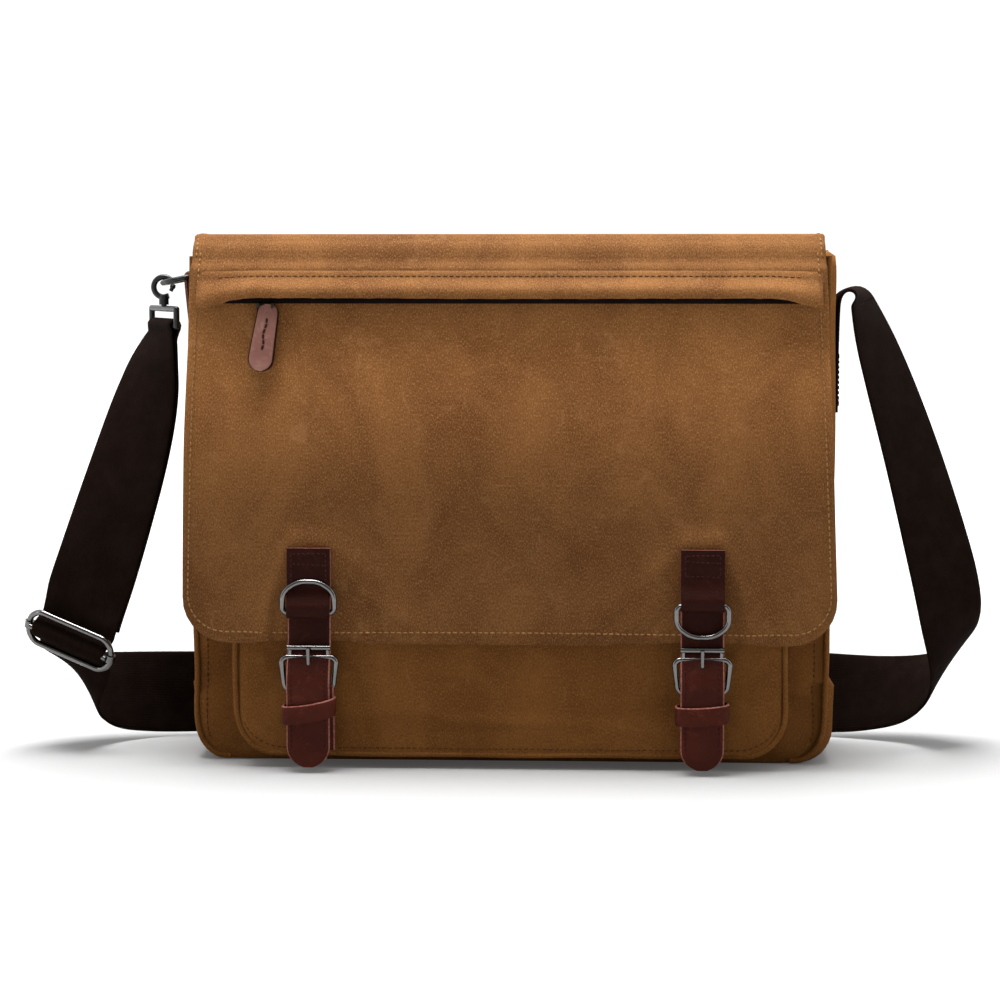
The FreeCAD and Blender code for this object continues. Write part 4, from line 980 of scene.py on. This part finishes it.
def make_body():
    grid = body_grid()
    normals = grid_normals(grid, closed=True)
    z = grid[..., 2]
    free = smoothstep(z, 0.012, 0.060) * smoothstep(BACK_TOP - z, 0.010, 0.045)
    waves = [(2.6, 2.2, 0.3, 0.4), (5.7, -3.1, 1.1, 0.35), (1.1, 6.5, 2.0, 0.35), (8.8, 3.7, 0.9, 0.2)]
    grid = ripple(grid, normals, 0.0013 * free, waves)
    grid = settle(grid, 1 - 0.999 * free, closed=True, growth=0.012)
    shell = cloth_sheet("body_cloth", grid, CLOTH_THICK, CANVAS_DARK, closed=True)
    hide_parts("back_panel", "front_panel", "gusset_left", "gusset_right")
    base = end_sheet("base_cloth", HALF_WIDTH - BODY_ROUND - 0.001, FRONT_FACE + 0.002, BACK_FACE - 0.002,
                     0.0002, CLOTH_THICK, CANVAS_DARK)
    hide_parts("base_panel", "base_board")
    for piece in (shell, base):
        dress(piece, "bag", "canvas")

    # seams up the four upright edges: a folded ridge with a row of stitches beside it
    plan = grid[10]
    facing = grid_normals(grid, closed=True)
    upright_edges = ((1, FRONT_FACE), (1, BACK_FACE), (-1, FRONT_FACE), (-1, BACK_FACE))
    for number, (x_sign, y) in enumerate(upright_edges):
        column = int(np.argmin(np.abs(plan[:, 0] - x_sign * (HALF_WIDTH - 0.001)) + np.abs(plan[:, 1] - y)))
        edge = grid[:, column] + facing[:, column] * 0.0007
        for _ in range(8):
            edge[1:-1] = (edge[:-2] + 2 * edge[1:-1] + edge[2:]) / 4
        edge[:, 2] = np.maximum(edge[:, 2], 1.8 * MM)
        piece = round_tube("body_seam_%d" % number, resample(edge, 0.003), 0.0017, CANVAS_DARK)
        dress(piece, "bag", "canvas")
        beside = (column + (1 if (x_sign > 0) == (y > 0) else -1)) % grid.shape[1]
        row = stitches("body_seam_stitches_%d" % number, grid[:-6, beside], facing[:-6, beside], TONAL_THREAD)
        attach(row, "bag")

    # lining: the same shell a little inside, down to the board
    floor = corners("lining")[0][2]
    inside = grid - facing * 0.0032
    inside[0, :, 2] -= 0.004
    inside = inside[inside[:, 0, 2] > floor + 0.001]
    inside[-1, :, 2] = floor + 0.001
    tub = cloth_sheet("lining_tub", inside, LINING_THICK, LINING, closed=True)
    bottom = end_sheet("lining_bottom", np.abs(inside[-1, :, 0]).max() - 0.001, FRONT_FACE + 0.004,
                       BACK_FACE - 0.004, floor, LINING_THICK, LINING)
    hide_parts("lining")
    for piece in (tub, bottom):
        dress(piece, "bag", "lining")
    return grid


def make_divider():
    """The padded laptop divider: two crowned faces meeting at a bound edge."""
    low, high = corners("laptop_divider")
    centre = (low[1] + high[1]) / 2
    half_thick = (high[1] - low[1]) / 2
    columns = np.linspace(low[0], high[0], 70)
    shares = np.linspace(1, 0, 46)
    round_off = 0.030
    grids = []
    for sign in (-1, 1):
        grid = np.zeros((len(shares), len(columns), 3))
        for c, x in enumerate(columns):
            past = max(abs(x) - (high[0] - round_off), 0)
            bottom = low[2] + round_off - math.sqrt(max(round_off ** 2 - past ** 2, 0))
            grid[:, c, 0] = x
            grid[:, c, 2] = bottom + (high[2] - bottom) * shares
        u = grid[..., 0] / high[0]
        v = 2 * shares[:, None] - 1 + 0 * u
        crown = (1 - np.abs(u) ** 16) * (1 - np.abs(v) ** 12)
        channels = 0.72 + 0.28 * np.abs(np.sin(math.pi * (u + 1) * 3)) ** 0.5
        grid[..., 1] = centre + sign * half_thick * np.clip(0.30 + 0.68 * crown * channels, 0.30, 1)
        grids.append(grid)
    front, back = grids
    pad = skin("divider_pad", front, back, LINING, np.concatenate([grid_uvs(front), grid_uvs(back)]))
    dress(pad, "bag", "lining", "laptop_divider")
    outline = np.concatenate([front[:-1, 0], front[-1, :-1], front[:0:-1, -1], front[0, ::-1]])
    outline[:, 1] = centre
    binding = round_tube("divider_binding", resample(outline, 0.004)[:-1], 0.0026, CANVAS_DARK, sides=8)
    dress(binding, "bag", "canvas")


# ---------------------------------------------------------------- front pocket

def make_pocket():
    """The pocket: a front face and a gusset round three sides, piped along the edge."""
    low, high = corners("pocket_panel")
    half = high[0]
    front = low[1]
    turn = 24 * MM
    soften = 4 * MM
    top, bottom = high[2], low[2]
    plan = [(-half, FRONT_FACE), (-half, front + soften)]
    plan += [(-half + soften * (1 - math.cos(a)), front + soften * (1 - math.sin(a)))
             for a in np.linspace(0, math.pi / 2, 5)[1:]]
    plan += [(-x, y) for x, y in plan[::-1]]
    plan = resample(np.array([(x, y, 0) for x, y in plan]), 0.0045)
    grid = wall_grid(plan, top, bottom, turn, 34, 11, (0.075, 0.155))
    z = grid[..., 2]
    free = smoothstep(z, bottom, bottom + 0.030) * smoothstep(top - z, 0, 0.03)
    free *= smoothstep(half - np.abs(grid[..., 0]), 0.0, 0.02)
    waves = [(4.0, 3.0, 0.2, 0.5), (7.5, -5.0, 2.1, 0.3), (2.0, 9.0, 1.0, 0.3)]
    grid = ripple(grid, grid_normals(grid), 0.0009 * free, waves)
    grid = settle(grid, 1 - 0.999 * free, cap=0.0018, growth=0.008)
    shell = cloth_sheet("pocket_cloth", grid, CLOTH_THICK, CANVAS_DARK)
    under = end_sheet("pocket_base_cloth", half - turn, front + 0.002, FRONT_FACE, bottom, CLOTH_THICK,
                      CANVAS_DARK)
    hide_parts("pocket_panel", "pocket_gusset")
    for piece in (shell, under):
        dress(piece, "bag", "canvas")

    radius = (corners("pocket_piping")[1][1] - corners("pocket_piping")[0][1]) / 2 * 0.72
    level = front + 1.0 * MM
    reach, foot = half - 0.1 * MM, bottom + 0.1 * MM
    arc = np.linspace(0, math.pi / 2, 14)
    line = [(-reach, z) for z in np.linspace(top, foot + turn, 30)]
    line += [(-reach + turn * (1 - math.cos(a)), foot + turn * (1 - math.sin(a)))
             for a in arc[1:]]
    line += [(x, foot) for x in np.linspace(-reach + turn, 0, 24)[1:]]
    line += [(-x, z) for x, z in line[::-1][1:]]
    line = np.array(line)
    sway = 0.0004 * np.sin(np.arange(len(line)) * 0.45) + 0.0003 * np.sin(np.arange(len(line)) * 0.17 + 1)
    path = np.stack([line[:, 0] + sway, np.full(len(line), level), line[:, 1] + sway * 0.5], axis=1)
    piping = round_tube("pocket_piping_cord", resample(path, 0.002), radius, CANVAS_DARK, sides=12)
    dress(piping, "bag", "canvas", "pocket_piping")
    inset = 3.6 * MM
    places = [(x * (1 - inset / reach), z + inset * smoothstep(foot + turn - z, 0, turn)) for x, z in line]
    points, normals = on_surface(places, grid)
    row = stitches("pocket_stitches_near", points, normals, TONAL_THREAD, radius=0.00036)
    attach(row, "bag")


# ---------------------------------------------------------------- closures

LEATHER_WIDTH = 25 * MM
LAYER = 1.5 * MM


def folded_tab(name, x, far_end, bar, back_y, radius, width, thickness):
    """Leather folded round a bar along X: two layers that meet again beyond the fold and end at far_end."""
    bar_y, bar_z = bar
    away = math.copysign(1, far_end - bar_z)
    turns = np.linspace(0, math.pi, 16)
    arc = [(bar_y + radius * math.cos(a), bar_z - away * radius * math.sin(a)) for a in turns]
    front_y = back_y - thickness - 0.0002
    back = [(back_y, far_end), (back_y, (far_end + bar_z) / 2), (back_y, bar_z + away * 0.011),
            (bar_y + radius - 0.0002, bar_z + away * 0.004)]
    front = [(bar_y - radius, bar_z + away * 0.0035), (front_y - 0.0008, bar_z + away * 0.011),
             (front_y, bar_z + away * 0.016), (front_y, (far_end + bar_z) / 2), (front_y, far_end)]
    line = np.concatenate([side_line(x, back, 0.001), np.array([(x, y, z) for y, z in arc])[1:-1],
                           side_line(x, front, 0.001)])
    tab = strip(name, resample(line, 0.0011), RIGHT, width, thickness, [LEATHER, RAW_EDGE])
    return tab, front_y - thickness / 2


def make_ring_tab(side, x):
    tab_box = corners("ring_tab_" + side)
    ring_box = corners("d_ring_" + side)
    wire = 1.6 * MM
    bar_z = ring_box[0][2] + wire if side == "left" else ring_box[1][2] - wire
    bar = (middle("d_ring_" + side)[1], bar_z)
    thickness = 1.5 * MM
    back_y = tab_box[1][1] - 0.0002
    tab, face = folded_tab("ring_tab_%s_leather" % side, x, tab_box[1][2], bar, back_y, wire + 0.0011,
                           LEATHER_WIDTH, thickness)
    dress(tab, "flap_front", "leather", "ring_tab_" + side)
    top = tab_box[1][2]
    half = LEATHER_WIDTH / 2 - 0.0026
    foot = bar_z + 0.017
    left, right = x - half, x + half
    level = (top + foot) / 2
    for label, x_start, z_start, x_end, z_end in (("top", left, top - 0.0034, right, top - 0.0030),
                                                  ("low", left, foot, right, foot - 0.0004),
                                                  ("cross", left, level + 0.001, right, level),
                                                  ("a", left, top - 0.0030, left, foot),
                                                  ("b", right, top - 0.0030, right, foot)):
        stitch_row("ring_tab_%s_stitch_%s" % (side, label), "flap_front", (x_start, face, z_start),
                   (x_end, face, z_end), FRONT, DARK_THREAD)


def make_closure(side):
    x = CLOSURES[side]
    strap_low, strap_high = corners("closure_strap_" + side)
    frame_low, frame_high = corners("buckle_frame_" + side)
    stand = (frame_low[1] + frame_high[1]) / 2
    heel = frame_low[2] + 1.7 * MM
    top_bar = frame_high[2] - 1.7 * MM
    flat = strap_high[1] - LAYER / 2
    tail = strap_low[1] + 1.0 * MM
    points = [(flat, strap_high[2] - 0.001), (flat, 0.110), (flat, 0.090), (flat - 0.0004, top_bar + 0.010),
              (flat - 0.0008, top_bar + 0.001), (stand - 0.0010, top_bar - 0.007),
              (tail - 0.0010, heel + 0.0055), (tail + 0.0004, heel - 0.004), (tail + 0.0012, 0.034),
              (tail + 0.0004, 0.018), (tail + 0.0008, strap_low[2])]
    line = side_line(x, points, 0.0012)
    strap = strip("closure_%s_leather" % side, line, RIGHT, LEATHER_WIDTH, 0.0022, [LEATHER, RAW_EDGE],
                  tips=(0, LEATHER_WIDTH / 2 - 0.0005), bulge=0.0004)
    dress(strap, "flap_front", "leather", "closure_strap_" + side)

    # a row of dark stitches a little inside both edges, from the tip up
    tangents = unit(np.gradient(line, axis=0))
    outward = np.cross(tangents, RIGHT)
    outward *= np.where(outward[:, 1:2] > 0, -1, 1)
    below = (line[:, 2] < top_bar - 0.006) & (line[:, 2] > strap_low[2] + 0.010)
    for label, sign in (("a", -1), ("b", 1)):
        row = line[below] + outward[below] * 0.0013 + RIGHT * sign * (LEATHER_WIDTH / 2 - 0.0028)
        made = stitches("closure_%s_stitch_%s" % (side, label), row, outward[below], DARK_THREAD,
                        pitch=0.0030, radius=0.00036)
        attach(made, "flap_front")

    anchor_low, anchor_high = corners("buckle_anchor_" + side)
    radius = (anchor_high[1] - anchor_low[1]) / 2 - 0.0010
    peek = 0.0036 if side == "left" else 0.0
    anchor, _ = folded_tab("anchor_%s_leather" % side, x + peek, anchor_low[2], (stand, heel),
                           anchor_high[1] - 0.0010, radius, LEATHER_WIDTH - 0.0030, 0.0018)
    dress(anchor, "flap_front", "leather", "buckle_anchor_" + side)
    make_ring_tab(side, x)
    make_keeper(side, x)


def make_keeper(side, x):
    """A leather band round the tail, its joint behind, sitting a little askew."""
    low, high = corners("keeper_" + side)
    thick = 1.7 * MM
    half_x = (high[0] - low[0] - thick) / 2
    half_y = (high[1] - low[1] - thick) / 2
    centre_y = (low[1] + high[1]) / 2
    line = rounded_plan(x, half_x, centre_y - half_y, centre_y + half_y, 4.0 * MM, 5, 0.0012)
    tilt, bow = (0.17, 6.0) if side == "left" else (0.06, 4.0)
    centre_z = (low[2] + high[2]) / 2 - 0.8 * MM
    height = (high[2] - low[2]) / 2 - 0.0006
    out = unit(line - [x, centre_y, 0])
    shift = line[:, 0] - x
    line[:, 2] = centre_z + tilt * shift + bow * shift ** 2
    section, edges = flat_section(height, thick / 2, 5)
    rings = np.array([[point + UP * up + facing * away for up, away in section]
                      for point, facing in zip(line, out)])
    count, around = rings.shape[:2]
    faces = [(a * around + b, ((a + 1) % count) * around + b, ((a + 1) % count) * around + (b + 1) % around,
              a * around + (b + 1) % around) for a in range(count) for b in range(around)]
    upper = [column for column in edges if section[column][0] > 0]
    kinds = [1 if b in upper else 0 for _ in range(count) for b in range(around)]
    band = make_object("keeper_%s_leather" % side, rings.reshape(-1, 3), faces, [LEATHER, RAW_EDGE], kinds)
    dress(band, "keeper_" + side, "leather", "keeper_" + side)


# ---------------------------------------------------------------- side ring tab

def make_side_tab():
    low, high = corners("side_ring_tab")
    line = np.array([(high[0] - 0.0011, 0, low[2]), (high[0] - 0.0011, 0, high[2] - 0.008)])
    bar_x = low[0] + 0.0039
    bar_z = high[2] - 0.0039
    radius = 0.0028
    turns = np.linspace(0, math.pi, 14)
    loop = [(bar_x + radius * math.cos(a), 0, bar_z + radius * math.sin(a)) for a in turns]
    points = np.concatenate([resample(line, 0.0012), np.array(loop),
                             [(bar_x - radius + 0.0006, 0, bar_z - 0.006),
                              (high[0] - 0.0030, 0, bar_z - 0.014), (high[0] - 0.0030, 0, low[2])]])
    tab = strip("side_tab_leather", resample(smooth_line(points[::3], 0.001), 0.0012), np.array([0.0, 1, 0]),
                LEATHER_WIDTH, 0.0017, [LEATHER, RAW_EDGE])
    dress(tab, "bag", "leather", "side_ring_tab")
    half = LEATHER_WIDTH / 2 - 0.003
    face_x = high[0] - 0.0039
    foot, top = low[2] + 0.003, low[2] + 0.019
    rows = (((-half, foot), (half, foot)), ((-half, top), (half, top)), ((-half, foot), (-half, top)),
            ((half, foot), (half, top)))
    for number, (start, end) in enumerate(rows):
        stitch_row("side_tab_stitch_%d" % number, "bag", (face_x, *start), (face_x, *end), -RIGHT, TAN_THREAD)


def make_root_stitching():
    """The box of stitches that holds the sewn end of the strap on the right gusset."""
    low = corners("strap_root")[0]
    x = low[0] + WEBBING_THICK + 0.0001
    y_mid = 0.004
    half = WEBBING_WIDTH / 2 - 0.004
    bottom, top = low[2] + 0.004, low[2] + 0.034
    box = [(y_mid - half, bottom), (y_mid + half, bottom), (y_mid + half, top), (y_mid - half, top)]
    sides = list(zip(box, box[1:] + box[:1])) + [(box[0], box[2]), (box[1], box[3])]
    for number, (start, end) in enumerate(sides):
        stitch_row("strap_root_stitch_%d" % number, "bag", (x, *start), (x, *end), RIGHT, DARK_THREAD)


# ---------------------------------------------------------------- finishes of the CAD nodes that show

def finish_hardware():
    finishes = {GUNMETAL: ["d_ring_", "buckle_frame_", "buckle_prong_", "snap_socket_", "snap_stud_",
                           "slider_frame", "slider_bar"],
                BLACK_METAL: ["hook_body", "hook_gate", "hook_eye", "side_ring"],
                ZIP_METAL: ["zipper_slider"]}
    for material, names in finishes.items():
        for name, thing in nodes.items():
            if any(name == wanted or (wanted.endswith("_") and name.startswith(wanted)) for wanted in names):
                thing.data.materials.clear()
                thing.data.materials.append(material)


# ---------------------------------------------------------------- stage and light

STUDIO_DARK = 0.16      # brightness of the room behind the camera
STUDIO_PALE = 1.10      # brightness of the backdrop


def make_stage():
    mesh = bpy.data.meshes.new("floor")
    size = 9.0
    sheet = [(-size, -size, 0), (size, -size, 0), (size, size, 0), (-size, size, 0)]
    mesh.from_pydata(sheet, [], [(0, 1, 2, 3)])
    mesh.materials.append(floor_material())
    floor = bpy.data.objects.new("floor", mesh)
    floor.location.z = -0.0004
    scene.collection.objects.link(floor)

    world = bpy.data.worlds.new("studio")
    scene.world = world
    world.use_nodes = True
    tree = world.node_tree
    background = tree.nodes["Background"]
    direction = tree.nodes.new("ShaderNodeTexCoord")
    axes = tree.nodes.new("ShaderNodeSeparateXYZ")
    fade = tree.nodes.new("ShaderNodeMapRange")
    fade.interpolation_type = "SMOOTHSTEP"
    for key, given in (("From Min", -0.85), ("From Max", 0.05), ("To Min", STUDIO_DARK),
                       ("To Max", STUDIO_PALE)):
        fade.inputs[key].default_value = given
    tree.links.new(direction.outputs["Generated"], axes.inputs[0])
    tree.links.new(axes.outputs["Y"], fade.inputs["Value"])
    tree.links.new(fade.outputs[0], background.inputs["Strength"])
    background.inputs["Color"].default_value = (1, 1, 1, 1)

    aim = Vector((0, 0, 0.15))
    for name, place, size_x, size_y, power in (("key", (-0.06, 0.08, 1.60), 1.2, 0.9, 68),
                                               ("fill_right", (1.5, -0.9, 0.7), 0.25, 1.0, 2),
                                               ("fill_left", (-1.6, -0.7, 0.6), 0.25, 1.0, 2)):
        data = bpy.data.lights.new(name, "AREA")
        data.shape = "RECTANGLE"
        data.size, data.size_y = size_x, size_y
        data.energy = power
        light = bpy.data.objects.new(name, data)
        light.location = place
        light.visible_camera = False
        light.rotation_euler = (aim - light.location).to_track_quat("-Z", "Y").to_euler()
        scene.collection.objects.link(light)
    scene.view_settings.view_transform = "Standard"


skirt_grid = make_flap()
make_welt(skirt_grid)
make_zip(skirt_grid)
make_pull()
make_body()
make_divider()
make_pocket()
for closure_side in CLOSURES:
    make_closure(closure_side)
make_side_tab()
make_root_stitching()
finish_hardware()
make_stage()
